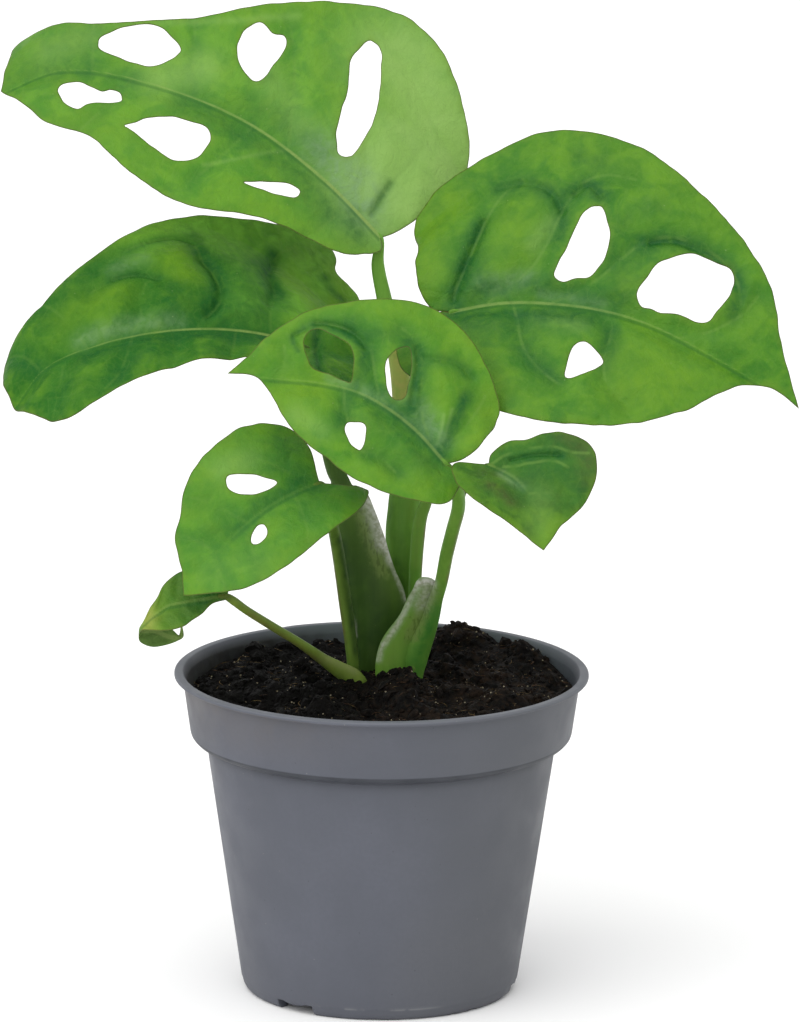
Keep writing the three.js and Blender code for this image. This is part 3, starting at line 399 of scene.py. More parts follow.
BLADES["small_right"] = dict(
    place=(30, -44, 166), turn=(-40, -47, 34), length=30, half_width=22, grid=0.36, arch=2, droop=0,
    rise=(0.2, 0.5), curl=0, swell=0.8, loop=4, laterals=([], []), vein_pale=0.6, rib_pale=0.15,
    rib_end=0.5, gloss=0.1, low_side=-1,
    midrib=[(8, 4), (16, 4.4)],
    sides=[
        [
            (0, 0), (-2.5, 2.5), (-3, 8), (-0.5, 13), (0.5, 18), (4.5, 23.5), (10, 26.7), (15, 26),
            (20.5, 22.5), (25, 15.5), (27, 7), (30, 0),
        ],
        [
            (0, 0), (-1.5, -2.5), (-4, -8), (-3.3, -10.8), (0, -12.5), (5, -13.3), (13, -10.5), (23.5, -4),
            (30, 0),
        ],
    ],
    holes=[],
    traced=[
        [(0.5, 0.5), (0.2, 5), (1.8, 10.3), (3, 13.5), (5.3, 17.5), (8, 20), (10, 21.5), (12.5, 25)],
        [(3, 3), (4.8, 6), (5.6, 8.8), (6.8, 11.2), (8, 14.2), (10, 16.5), (13, 18)],
        [(14, 5), (17, 10), (21, 14)],
    ],
    creases=[(1.2, 0.8, (2.2, 6), (4, 11), (6.2, 15), (8.5, 18))],
    marks=dict(
        deep=[
            (1.8, 1, (2.3, 6.5), (4.2, 11.5), (6.5, 15.5), (9, 18.5)),
            (4, 0.6, (9, 8), (12, 13), (16, 16)), (2.4, 0.5, (12, 3), (15, 1)),
            (3.2, 0.6, (0, 18), (6, 22.5), (14, 23), (20, 19)), (2.4, 0.5, (9, -7), (12, -3)),
        ],
        sheen=[(1.4, 0.8, (5, 1.2), (8, 2.4), (11, 4))],
        brown=[
            (2.2, 0.9, (7.5, -4.5), (11, -3), (14, -2.2)), (3, 0.4, (2, -3), (5, 0)),
            (3.5, 0.7, (4, 23), (12, 25), (19, 22)),
        ],
        pale=[(4.5, 0.25, (15, 6), (20, 3), (24, 1))],
        warm=[
            (2, 0.7, (25, 6), (28.5, 1)), (1.4, 0.6, (20, -6), (27, -2)), (2.5, 0.35, (16, 12), (18, 14)),
        ],
    ),
)
BLADES["lower_left"] = dict(
    place=(-18, -30, 157), turn=(-157, -36, -49), length=51, half_width=22, grid=0.45, arch=4, droop=1,
    rise=(0.3, 0.15), curl=2, swell=0.7, loop=5, laterals=([8, 26, 38], [3, 24, 36]), vein_pale=0.2,
    rib_pale=0.08, rib_end=0.75, gloss=0.12, low_side=1,
    midrib=[(9, -2.3), (20, -3.6), (39, -2.8)],
    sides=[
        [
            (0, 0), (-5.5, 6), (-9.5, 10), (-6, 12.7), (0, 14.5), (12, 14.7), (21, 15), (31.5, 13.5),
            (40, 9.5), (48, 2), (51, -1),
        ],
        [
            (0, 0), (-1.2, -2.6), (-3.2, -5.8), (-4.8, -9.5), (-5.5, -14.5), (-4.6, -19), (-1.5, -22.8),
            (2.5, -25.4), (9, -27.5), (23, -26.5), (31.5, -22.5), (37, -18), (42, -14.5), (47, -6),
            (51, -1),
        ],
    ],
    holes=[
        [
            (20.5, -16.5), (19, -17.5), (17, -16.5), (13.5, -13.5), (11.5, -11), (9.5, -8), (10.5, -7),
            (15.5, -8), (18.5, -10), (20.5, -12), (21.5, -14.5),
        ],
        [(27, 2), (25, 0), (22.5, -1), (21, 0), (21.5, 2), (23, 3.5), (25, 4), (26.5, 3.5)],
    ],
    traced=[],
    creases=[],
    marks=dict(
        deep=[
            (4.2, 0.6, (1, -2), (3, -6), (4, -10)), (4, 0.35, (1, -12), (-1, -18), (-3, -14)),
            (2.4, 0.7, (4, -2.4), (10, -4), (18, -5)), (1.6, 0.5, (18, -5), (24, -4.6), (30, -4)),
            (6, 0.35, (-3, 8), (-7, 9), (4, 3)), (3, 0.35, (30, -6), (34, -8)),
        ],
        pale=[(5, 0.12, (30, 8), (36, 4), (42, 0)), (4.5, 0.35, (12, -18), (18, -20))],
        warm=[(2.6, 0.6, (14, 12.5), (20, 13), (30, 11.5)), (6, 0.4, (8, -24), (20, -23), (32, -16))],
    ),
)

# The small leaf low on the left is narrow, and its last third turns back under itself. Each station
# along it gives a point of its back margin, its midrib and its front margin.
CURLED_STATIONS = [
    ((-43.8, -33.6, 126), (-44.2, -34.2, 124.8), (-44.8, -34.9, 123.6)),
    ((-48, -32.5, 128), (-48.5, -36.5, 124.5), (-48.5, -38, 123.5)),
    ((-53, -30.5, 131), (-52, -36.7, 124), (-51.5, -40, 121.5)),
    ((-57.5, -30, 130), (-55, -37, 123.5), (-54.5, -42, 120)),
    ((-60, -31, 128.5), (-57.5, -37.3, 123), (-56.5, -43.5, 118.7)),
    ((-62.5, -33.5, 126.5), (-61, -38, 122.3), (-60, -45, 117.7)),
    ((-64.2, -36.5, 123.8), (-63.5, -39.5, 121), (-63, -45.4, 117.3)),
    ((-66.2, -38.6, 121.6), (-66, -41, 119.5), (-66, -44.8, 117.2)),
    ((-67.7, -41.2, 119), (-68, -42.8, 118), (-68.2, -44, 116.8)),
    ((-68.5, -41, 117.3), (-69, -41.7, 116.5), (-69.1, -42.5, 115.2)),
    ((-67.6, -38.8, 116.5), (-68.2, -39.8, 115.4), (-68.9, -41, 112.8)),
    ((-64.6, -36.5, 117), (-65.1, -37.3, 114.8), (-65.6, -38.5, 110.7)),
    ((-61.4, -35, 115.9), (-61.6, -35.6, 113), (-61.7, -36.5, 110.8)),
    ((-59.3, -34.5, 114), (-59, -34.8, 112.3), (-58.5, -35, 111.5)),
    ((-58, -34, 112.8), (-57.4, -34.1, 112.6), (-56.8, -34.3, 112.4)),
    ((-57.4, -33.5, 115.5), (-57.2, -33.5, 115.5), (-57, -33.5, 115.4)),
]

# Each stalk is a run of sections from its foot in the soil to its blade: centre x, y, z, half width
# across the front and half depth. wing is the same for the loose side of a sheath, and groove is how
# deep the channel along the front is. Marks are as on a blade, with their lines by x and z. light marks
# are painted highlights along the lit side, and deep marks are painted shade in creases and on the
# shaded side.
STALKS = {}
STALKS["upper_left"] = dict(
    sections=[
        (4.7, 25, 74, 2.4, 2), (4.9, 25, 88, 3.6, 2.6), (5, 25, 97, 3.9, 2.8), (5.2, 24.5, 109, 4.2, 2.8),
        (5.4, 24, 121, 4.4, 2.6), (5.3, 24, 130, 4.4, 2.5), (6.3, 24, 139, 4.7, 2.4),
        (6.1, 24, 147, 3.6, 2.4), (5.6, 24, 163, 2.8, 2.2), (4.7, 24, 177, 2.8, 2.1),
        (2.2, 24.2, 190, 2.4, 2), (-0.1, 24.6, 199.5, 2.2, 1.9), (-1.9, 25.2, 209, 1.9, 1.7),
    ],
    groove=0.3,
    marks=dict(
        deep=[
            (2.6, 0.45, (2.6, 141), (2.2, 130), (3.4, 121), (5.4, 112)), (2.5, 0.25, (7, 128), (8, 116)),
        ],
        straw=[(7, 1, (5.2, 168), (4.8, 186))],
        light=[(1.4, 0.6, (8.5, 141), (8, 134))],
    ),
)
STALKS["left"] = dict(
    sections=[
        (-2.5, 14, 74, 3, 2), (-2.6, 14, 88, 5.2, 2.5), (-2.35, 14, 96, 5.85, 2.6),
        (-1.8, 14, 103, 7.3, 2.5), (-1.5, 14, 111, 8.6, 2.4), (-3.35, 14, 117.8, 7.75, 2.3),
        (-4.6, 13.8, 123.5, 7, 2.2), (-6, 13.3, 129.5, 6.7, 2.1), (-7.9, 12.9, 136.6, 6.05, 2.1),
        (-9.4, 12.7, 141.6, 5.4, 2), (-11.6, 12.5, 144.6, 3.4, 2), (-12.6, 12.4, 148, 2.6, 2),
        (-14, 12, 151, 2.5, 1.9), (-17, 11.5, 163, 2.2, 1.8), (-19.7, 10.8, 174, 1.9, 1.6),
        (-21.5, 9.8, 185.5, 1.6, 1.2),
    ],
    marks=dict(
        membrane=[
            (2.2, 1, (-3.6, 142), (-2, 137.5), (-0.4, 133), (0.6, 129.5)),
            (1, 0.8, (0.3, 130), (1.3, 127), (2.4, 123.5)),
            (0.5, 0.5, (2.8, 122), (4.6, 117.5), (6.8, 112)), (0.35, 0.8, (-12.9, 131.5), (-12.4, 127.5)),
            (0.35, 0.7, (-8.3, 106), (-7.7, 101)),
        ],
        fleck=[(2.6, 1, (-7, 142), (-5.2, 136), (-3.4, 131), (-1.4, 126), (0.4, 121))],
        light=[(5, 0.55, (-6, 140), (-2, 126), (2, 116)), (1, 0.35, (-3, 98), (-1, 92))],
        deep=[
            (2, 1, (-12.4, 128), (-11, 117), (-9.4, 106), (-8, 96)),
            (6, 0.6, (-5, 130), (-4, 120), (-2, 108), (-2, 98)),
        ],
    ),
)
STALKS["middle"] = dict(
    sections=[
        (9.9, 5, 74, 2.6, 2), (9.8, 5, 88, 1.6, 1.6), (9.9, 4.9, 95.4, 3.3, 2.3),
        (10.8, 4.4, 99.5, 3.4, 2.3), (12.5, 3.3, 104.3, 3, 2.2), (14.2, 2, 109.7, 2.5, 2.1),
        (15.5, 0.2, 115.7, 2.15, 2), (17, -3.5, 121.3, 1.85, 1.9), (18.5, -9, 131, 1.95, 1.8),
        (20.1, -17, 140, 1.95, 1.8), (21.7, -26, 149.7, 1.95, 1.7), (20.9, -33.5, 158, 1.7, 1.6),
        (18.8, -37.8, 163, 1.5, 1.2),
    ],
    wing=[
        (3, 5.5, 76, 3, 0.8), (3.4, 5.5, 88, 5, 1.2), (3.6, 5.4, 93, 5.5, 1.3), (4.2, 5.2, 95.8, 5.9, 1.3),
        (5.2, 4.9, 99.4, 5.9, 1.2), (6.9, 4.4, 103.1, 5.5, 1.1), (9.4, 3, 108.5, 4.6, 1),
        (11.4, 1.2, 114.5, 4.2, 0.9), (12.7, -0.6, 118.1, 3.8, 0.8), (13.2, -1.4, 119.9, 3.7, 0.7),
        (13.8, -2, 121.3, 3.2, 0.6), (14.2, -2.3, 121.9, 1.6, 0.5),
    ],
    marks=dict(
        membrane=[
            (1.1, 1, (10.4, 120.5), (12.4, 121.4), (14.4, 121.2)),
            (0.8, 0.6, (9.6, 119), (8.2, 115.5), (5.7, 109.5), (2.6, 104), (0, 100), (-1, 96)),
            (2.2, 0.4, (13, 119), (11, 114)),
        ],
        fleck=[(2.4, 1, (13.4, 119), (12.4, 115), (10.6, 109), (8.6, 104))],
        teal=[(3, 0.85, (15.3, 112), (13.5, 106), (11.5, 100), (10, 94))],
        light=[
            (3, 0.6, (1.5, 96), (5.5, 102), (9, 108)),
            (1.2, 0.4, (21, 147), (18.5, 131), (16.6, 121), (14.5, 113)),
        ],
        red=[(0.6, 0.6, (23.2, 147), (21.4, 138), (20.2, 131), (18.8, 122))],
    ),
)
STALKS["upper_right"] = dict(
    sections=[
        (9.2, 19.5, 74, 1.3, 1.3), (9.3, 19.5, 88, 1.6, 1.6), (9.5, 19.5, 100, 1.8, 1.7),
        (9.6, 19.4, 117.2, 1.9, 1.7), (10.3, 19, 129.2, 2, 1.7), (11.1, 18.6, 135.4, 1.9, 1.7),
        (12.7, 18, 140.5, 1.7, 1.7), (14.8, 16, 153, 1.6, 1.6), (17, 12, 168.5, 1.6, 1.5),
        (18.5, 7.5, 184.5, 1.5, 1.4), (19.1, 3.6, 196, 1.4, 1.2),
    ],
    marks=dict(
        light=[(1.6, 0.8, (12.4, 140), (10.6, 133), (10, 122))],
        red=[(0.5, 0.8, (14.3, 140), (12.7, 133), (12.1, 126), (11.4, 116))],
    ),
)
STALKS["small_right"] = dict(
    sections=[
        (10.3, 13.5, 74, 1.1, 1.1), (10.6, 13.2, 90, 1.4, 1.4), (12.4, 11.8, 100, 1.4, 1.4),
        (13.9, 10.3, 107.5, 1.4, 1.4), (15.4, 8.2, 113.7, 1.4, 1.4), (16.9, 4.5, 119.3, 1.4, 1.4),
        (18.4, -1, 129, 1.3, 1.3), (19.9, -9, 138, 1.3, 1.3), (21.6, -18, 147.2, 1.3, 1.3),
        (22.7, -25, 153, 1.2, 1.2), (24.8, -33, 158.8, 1.1, 1.1), (28.6, -40.8, 164, 1, 1),
    ],
    marks={},
)
STALKS["lower_left"] = dict(
    sections=[
        (-7.6, 9, 74, 1.4, 1.4), (-8, 9, 88, 1.7, 1.7), (-8.5, 8.4, 96, 1.75, 1.8),
        (-10.6, 5, 113, 1.95, 1.8), (-12.9, -3, 130.6, 1.8, 1.7), (-14.3, -10, 139.5, 1.65, 1.6),
        (-16, -20, 149, 1.4, 1.4), (-17.5, -27.5, 155.5, 1.3, 1.1),
    ],
    marks=dict(
        light=[(0.9, 0.9, (-13.9, 131), (-12, 117), (-9.9, 103), (-9, 94))],
        deep=[(1, 0.9, (-12.6, 136), (-10.4, 121), (-8.6, 107), (-7.3, 97))],
        red=[(0.45, 0.6, (-14.7, 130), (-12.8, 116), (-10.6, 101))],
    ),
)
STALKS["curled"] = dict(
    sections=[
        (-5.4, -0.4, 78, 1.2, 1.1), (-5.8, -0.8, 85.4, 1.9, 1.5), (-6.8, -1.2, 90.2, 2.9, 1.9),
        (-9.2, -1.7, 92.8, 3.2, 2), (-12.6, -2.9, 95.3, 2.7, 1.8), (-16.8, -5, 98.5, 1.9, 1.5),
        (-23.6, -11.5, 105, 1.3, 1.3), (-31.9, -21, 112.6, 1.25, 1.25), (-39.2, -29.3, 119.4, 1.2, 1.2),
        (-42.4, -32.4, 122.6, 1.3, 1.2), (-44.4, -34, 124.2, 1.1, 1), (-46.6, -35.8, 124.6, 0.8, 0.7),
    ],
    marks=dict(
        blush=[(1.5, 1, (-16.5, 99.4), (-11.5, 97), (-7.6, 95))],
        light=[(2.5, 0.8, (-12, 93.5), (-6, 90)), (1.1, 0.8, (-42, 124.6), (-30, 113.5), (-20, 103.6))],
        red=[(0.8, 0.5, (-38, 118), (-26, 106), (-18, 98))],
        deep=[(1.2, 0.7, (-46, 124), (-44, 124))],
    ),
)


# Curves


def hermite(p1, p2, t1, t2, u):
    """The point at u between p1 and p2, leaving along t1 and arriving along t2."""
    return (
        (2 * u**3 - 3 * u**2 + 1) * p1
        + (u**3 - 2 * u**2 + u) * t1
        + (3 * u**2 - 2 * u**3) * p2
        + (u**3 - u**2) * t2
    )


def flowing(points, closed=False, steps=24):
    """A smooth curve through every point, as many small steps."""
    pts = np.array(points, float)
    count = len(pts)
    curve = []
    for i in range(count if closed else count - 1):
        near = [(i + k) % count if closed else min(max(i + k, 0), count - 1) for k in (-1, 0, 1, 2)]
        p0, p1, p2, p3 = pts[near]
        curve += [hermite(p1, p2, (p2 - p0) / 2, (p3 - p1) / 2, u) for u in np.arange(steps) / steps]
    return np.array(curve if closed else [*curve, pts[-1]])


def through(points, shares):
    """Points along a centripetal curve through the given ones. Each share runs from 0 to 1."""
    pts = np.array(points, float)
    pts = np.vstack([2 * pts[0] - pts[1], pts, 2 * pts[-1] - pts[-2]])
    spans = len(pts) - 3
    made = []
    for share in shares:
        at = min(int(share * spans), spans - 1)
        p0, p1, p2, p3 = pts[at : at + 4]
        d0, d1, d2 = (max(np.linalg.norm(b - a) ** 0.5, 1e-4) for a, b in ((p0, p1), (p1, p2), (p2, p3)))
        t1 = ((p1 - p0) / d0 - (p2 - p0) / (d0 + d1) + (p2 - p1) / d1) * d1
        t2 = ((p2 - p1) / d1 - (p3 - p1) / (d1 + d2) + (p3 - p2) / d2) * d1
        made.append(hermite(p1, p2, t1, t2, share * spans - at))
    return np.array(made)


def evenly(curve, spacing, closed=False):
    """The same curve with its points at an even spacing."""
    path = np.vstack([curve, curve[:1]]) if closed else curve
    run = np.concatenate([[0], np.cumsum(np.linalg.norm(np.diff(path, axis=0), axis=1))])
    at = np.linspace(0, run[-1], max(4, round(run[-1] / spacing)) + 1)
    even = np.stack([np.interp(at, run, path[:, k]) for k in range(path.shape[1])], axis=1)
    return even[:-1] if closed else even


def distance_to(points, line):
    """How far each point lies from a line of straight runs."""
    nearest = np.full(len(points), np.inf)
    for a, b in zip(line[:-1], line[1:]):
        run = b - a
        share = np.clip(((points - a) @ run) / max(run @ run, 1e-12), 0, 1)
        nearest = np.minimum(nearest, np.linalg.norm(points - a - share[:, None] * run, axis=1))
    return nearest


def from_loops(points, loops, step=1):
    """How far each point lies from the nearest of some closed loops."""
    return np.min([distance_to(points, np.vstack([loop, loop[:1]])[::step]) for loop in loops], axis=0)


def inside(points, loop):
    """Whether each point lies within a closed loop."""
    x, y = points.T
    within = np.zeros(len(points), bool)
    for (x0, y0), (x1, y1) in zip(loop, np.roll(loop, -1, axis=0)):
        if y0 != y1:
            within ^= ((y0 > y) != (y1 > y)) & (x < (x1 - x0) * (y - y0) / (y1 - y0) + x0)
    return within


def on_leaf(points, outline, holes):
    """Whether each point lies within the outline and in none of its holes."""
    keep = inside(points, outline)
    for hole in holes:
        keep &= ~inside(points, hole)
    return keep


def fade(value, low, high):
    """0 below low, 1 above high, and smooth between."""
    u = np.clip((value - low) / (high - low), 0, 1)
    return u * u * (3 - 2 * u)


def hump(value, wide):
    """1 at 0, and falling away on both sides."""
    return np.exp(-((value / wide) ** 2))


def ring(radius, sides, z=0.0):
    """Points around the pot's axis."""
    angle = 2 * np.pi * np.arange(sides) / sides
    return np.column_stack([radius * np.cos(angle), radius * np.sin(angle), np.full(sides, float(z))])


# Meshes


def fan(hub, first, sides, flip=False):
    """The triangles from a hub to the ring of points around it."""
    pairs = [(first + k, first + (k + 1) % sides) for k in range(sides)]
    return [(hub, b, a) if flip else (hub, a, b) for a, b in pairs]


def bands(first, count, sides, flip=False):
    """The faces between rings of points, ring after ring."""
    faces = []
    for low in range(first, first + count * sides, sides):
        for k in range(sides):
            a, b = low + k, low + (k + 1) % sides
            faces.append((a, a + sides, b + sides, b) if flip else (a, b, b + sides, a + sides))
    return faces


def write_marks(mesh, marks):
    """One number on each point of a mesh for each mark, for its material to read."""
    for label, values in marks.items():
        layer = mesh.attributes.new(label, "FLOAT", "POINT")
        layer.data.foreach_set("value", np.asarray(values, np.float32))


def read_vectors(items, label):
    values = np.empty(3 * len(items))
    items.foreach_get(label, values)
    return values.reshape(-1, 3)


def mesh_object(name, points, faces, marks=None, smooth=True):
    """A mesh object from points in millimetres."""
    mesh = bpy.data.meshes.new(name)
    mesh.from_pydata(np.asarray(points) * MM, [], faces)
    write_marks(mesh, marks or {})
    mesh.polygons.foreach_set("use_smooth", [smooth] * len(mesh.polygons))
    mesh.update()
    made = bpy.data.objects.new(name, mesh)
    bpy.context.scene.collection.objects.link(made)
    return made


def settle(piece):
    """Turns a piece with modifiers into its plain finished mesh."""
    graph = bpy.context.evaluated_depsgraph_get()
    plain = bpy.data.meshes.new_from_object(piece.evaluated_get(graph))
    piece.modifiers.clear()
    piece.data = plain


def dress(piece, finish, slot, *nodes):
    """Gives a piece its finish, hangs it under the root body and hides the model's parts that it stands in
    for.
    """
    piece.data.materials.clear()
    piece.data.materials.append(finish)
    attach(piece, "root")
    if nodes:
        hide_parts(*nodes)


# Materials


def srgb(red, green, blue, gain=LIGHT_GAIN):
    """A colour as it looks in the studio's light, as the linear colour that a shader takes."""
    linear = [c / 255 / 12.92 if c < 11 else ((c / 255 + 0.055) / 1.055) ** 2.4 for c in (red, green, blue)]
    return (*(c / gain for c in linear), 1.0)


def give(tree, socket, value):
    """Sets a node's input, or links another node's output to it."""
    if isinstance(value, bpy.types.NodeSocket):
        tree.links.new(value, socket)
    elif value is not None:
        socket.default_value = value


def add_node(tree, kind, inputs, **settings):
    """A new node with its settings and its inputs, each by its name or number."""
    node = tree.nodes.new(kind)
    for label, value in settings.items():
        setattr(node, label, value)
    for label, value in inputs.items():
        give(tree, node.inputs[label], value)
    return node


class Finish:
    """A material that is put together node by node, one coat of colour over another."""

    def __init__(self, name):
        self.material = bpy.data.materials.new(name)
        self.material.use_nodes = True
        self.tree = self.material.node_tree
        self.place = self.add("TexCoord", {}, "Object")
        self.colour = None

    def add(self, kind, inputs, output, **settings):
        return add_node(self.tree, f"ShaderNode{kind}", inputs, **settings).outputs[output]

    def noise(self, size, detail=2, stretch=None, warp=0):
        """Soft noise whose lumps are about size millimetres across."""
        place = self.add("Mapping", {"Vector": self.place, "Scale": stretch}, 0) if stretch else self.place
        inputs = {"Vector": place, "Scale": 1 / (size * MM), "Detail": detail, "Distortion": warp}
        return self.add("TexNoise", inputs, "Fac")

    def cells(self, size, feature="DISTANCE_TO_EDGE"):
        """How far it is to the edge, or to the middle, of cells about size millimetres across."""
        inputs = {"Vector": self.place, "Scale": 1 / (size * MM)}
        return self.add("TexVoronoi", inputs, "Distance", feature=feature)

    def mark(self, label):
        return self.add("Attribute", {}, "Fac", attribute_name=label)

    def between(self, value, low, high, out_low=0, out_high=1):
        inputs = {"Value": value, "From Min": low, "From Max": high, "To Min": out_low, "To Max": out_high}
        return self.add("MapRange", inputs, "Result", interpolation_type="SMOOTHSTEP")

    def near(self, value, low, high):
        """1 below low and 0 above high."""
        return self.between(value, low, high, 1, 0)

    def cloud(self, size, detail, low, high, **more):
        """Noise as patches that are 0 below low and 1 above high."""
        return self.between(self.noise(size, detail, **more), low, high)

    def dots(self, size, low, high):
        return self.near(self.cells(size, "F1"), low, high)

    def rough(self, size, detail, low, high):
        return self.between(self.noise(size, detail), 0.3, 0.7, low, high)

    def sum(self, operation, a, b):
        return self.add("Math", {0: a, 1: b}, "Value", operation=operation)

    def both(self, a, b):
        """One share taken of another."""
        return self.sum("MULTIPLY", a, b)

    def soft(self, label, size=5, low=0.6, high=1.1):
        """A mark that fades out evenly and is a little stronger in some spots than in others."""
        return self.both(self.mark(label), self.between(self.noise(size, 3, warp=0.8), 0.3, 0.7, low, high))

    def blend(self, share, *colours):
        """Two colours mixed. Each is a node's output, or the numbers that srgb takes."""
        a, b = (c if isinstance(c, bpy.types.NodeSocket) else srgb(*c) for c in colours)
        return self.add("Mix", {"Factor": share, 6: a, 7: b}, 2, data_type="RGBA")

    def coat(self, share, strength, colour):
        """Lays a colour over what is there."""
        self.colour = self.blend(self.both(share, strength), self.colour, colour)

    def relief(self, height, depth, under=None):
        """Small height differences: depth is the height of a full step in millimetres."""
        return self.add("Bump", {"Distance": depth * MM, "Height": height, "Normal": under}, "Normal")

    def finish(self, roughness, normal, gloss):
        shader = self.tree.nodes["Principled BSDF"]
        looks = {
            "Base Color": self.colour,
            "Roughness": roughness,
            "Normal": normal,
            "Specular IOR Level": gloss,
        }
        for label, value in looks.items():
            give(self.tree, shader.inputs[label], value)
        return self.material


# Camera, light and floor. The camera stands far off, looks slightly down and has a long lens. Its
# angles are in degrees. The floor's whites have a gain of 1, so they are as bright as they say.

CAMERA_PLACE = (0, -3000, 860.1)
CAMERA_DOWN = 13.46876
CAMERA_RIGHT = 0.09547
CAMERA_ROLL = 0.40943
CAMERA_LENS = 376.9
KEY_FROM = (-0.75, -1, 1.3)
KEY_STRENGTH = 1.5
KEY_SPREAD = 75
FLOOR_RADIUS = 9000
FLOOR_SIDES = 96
FLOOR_WHITES = [(249, 249, 249, 1), (251, 251, 251, 1)]


def set_camera():
    down, aside, roll = (math.radians(a) for a in (CAMERA_DOWN, CAMERA_RIGHT, CAMERA_ROLL))
    ahead = Vector((math.sin(aside) * math.cos(down), math.cos(aside) * math.cos(down), -math.sin(down)))
    level = ahead.cross(Vector((0, 0, 1))).normalized()
    upright = level.cross(ahead)
    right = level * math.cos(roll) + upright * math.sin(roll)
    up = upright * math.cos(roll) - level * math.sin(roll)
    lens = bpy.data.cameras.new("camera")
    lens.sensor_fit = "AUTO"
    lens.sensor_width = 36
    lens.lens = CAMERA_LENS
    lens.clip_end = 30
    camera = bpy.data.objects.new("camera", lens)
    turn = Matrix((right, up, -ahead)).transposed().to_4x4()
    camera.matrix_world = Matrix.Translation(Vector(CAMERA_PLACE) * MM) @ turn
    bpy.context.scene.collection.objects.link(camera)
    bpy.context.scene.camera = camera


def set_stage():
    """An even white sky, one very soft lamp from the front left and a pale floor."""
    world = bpy.data.worlds.new("studio")
    world.use_nodes = True
    sky = world.node_tree.nodes["Background"]
    sky.inputs["Color"].default_value = (1, 1, 1, 1)
    sky.inputs["Strength"].default_value = 1
    bpy.context.scene.world = world
    bpy.context.scene.view_settings.view_transform = "Standard"
    lamp = bpy.data.lights.new("key", "SUN")
    lamp.energy = KEY_STRENGTH
    lamp.angle = math.radians(KEY_SPREAD)
    lamp.color = (1, 0.995, 0.98)
    holder = bpy.data.objects.new("key", lamp)
    holder.matrix_world = Vector(KEY_FROM).to_track_quat("Z", "Y").to_matrix().to_4x4()
    bpy.context.scene.collection.objects.link(holder)
    points = np.vstack([[(0, 0, 0)], ring(FLOOR_RADIUS, FLOOR_SIDES)])
    floor = mesh_object("floor", points, fan(0, 1, FLOOR_SIDES), smooth=False)
    pale = Finish("pale_floor")
    pale.colour = pale.blend(pale.noise(90), *FLOOR_WHITES)
    floor.data.materials.append(pale.finish(0.9, None, 0.1))


# Pot


def rounded(profile):
    """The profile with each corner turned into a small arc of three runs."""
    pts = [np.array(p, float) for p in profile]
    made = [pts[0]]
    for before, corner, after in zip(pts[:-2], pts[1:-1], pts[2:]):
        away = [(to - corner, np.linalg.norm(to - corner)) for to in (before, after)]
        start, end = (corner + min(CORNER, 0.4 * length) * to / length for to, length in away)
        for u in (0, 0.33, 0.67, 1):
            made.append((1 - u) ** 2 * start + 2 * u * (1 - u) * corner + u * u * end)
    return [*made, pts[-1]]


def pot_profile():
    """The pot's section as radius and height, up the outside from the axis and down the inside."""
    lip_radius = RIM_DIAMETER / 2
    lip_under = POT_HEIGHT - LIP_THICKNESS
    foot_inside = FOOT_RADIUS - FOOT_WIDTH
    floor_top = FOOT_HEIGHT + WALL
    outside = [
        (0, 0), (PAD_RADIUS, 0), (PAD_RADIUS + 1.2, FOOT_HEIGHT), (foot_inside, FOOT_HEIGHT),
        (foot_inside + 0.3, 0), (FOOT_RADIUS, 0), (FOOT_RADIUS + 0.9, 0.8), (FOOT_RADIUS + 1.4, 1.8),
        (BODY_BOTTOM_RADIUS - 0.2, FOOT_HEIGHT), (BODY_BOTTOM_RADIUS, FOOT_HEIGHT + 0.4),
        (BODY_BOTTOM_RADIUS + 0.2, FOOT_HEIGHT + 1.7), (BODY_TOP_RADIUS - 0.8, BODY_TOP - 5.4),
        (BODY_TOP_RADIUS - 0.5, BODY_TOP - 3.2), (BODY_TOP_RADIUS - 0.2, BODY_TOP - 1.4),
        (BODY_TOP_RADIUS, BODY_TOP), (BAND_BOTTOM_RADIUS - 2.9, BODY_TOP + 0.7),
        (BAND_BOTTOM_RADIUS - 1.2, BODY_TOP + 1.5), (BAND_BOTTOM_RADIUS - 0.3, BAND_BOTTOM - 1),
        (BAND_BOTTOM_RADIUS, BAND_BOTTOM), (BAND_TOP_RADIUS, lip_under - 0.8),
        (BAND_TOP_RADIUS + 0.4, lip_under - 0.2), (lip_radius, lip_under), (lip_radius, POT_HEIGHT - 0.4),
        (lip_radius - 0.4, POT_HEIGHT),
    ]
    within = [
        (lip_radius - LIP_WIDTH, POT_HEIGHT), (lip_radius - LIP_WIDTH - 0.4, POT_HEIGHT - 0.5),
        (BAND_TOP_RADIUS - WALL, lip_under - 1.3), (BAND_BOTTOM_RADIUS - WALL, BAND_BOTTOM + 0.5),
        (BAND_BOTTOM_RADIUS - 1.8, BAND_BOTTOM - 0.5), (BAND_BOTTOM_RADIUS - 3.3, BODY_TOP + 2),
        (BODY_TOP_RADIUS - WALL, BODY_TOP + 1), (BODY_BOTTOM_RADIUS - WALL, floor_top + 1),
        (BODY_BOTTOM_RADIUS - WALL - 1, floor_top), (PAD_RADIUS + 0.6, floor_top), (PAD_RADIUS - 0.8, WALL),
        (0, WALL),
    ]
    return rounded(outside + within)


def foot_gap(name, turn):
    """A block that cuts one gap into the foot ring."""
    size = np.array((FOOT_WIDTH + 3, FOOT_GAP, FOOT_HEIGHT + 1))
    middle = np.array((FOOT_RADIUS - FOOT_WIDTH / 2, 0, FOOT_HEIGHT / 2 - 0.5))
    spin = np.array(Matrix.Rotation(turn, 3, "Z"))
    ends = (-1, 1)
    corners = [
        spin @ (middle + np.array((x, y, z)) * size / 2) for x in ends for y in ends for z in ends
    ]
    faces = [(0, 1, 3, 2), (4, 6, 7, 5), (0, 4, 5, 1), (2, 3, 7, 6), (0, 2, 6, 4), (1, 5, 7, 3)]
    return mesh_object(name, corners, faces, smooth=False)


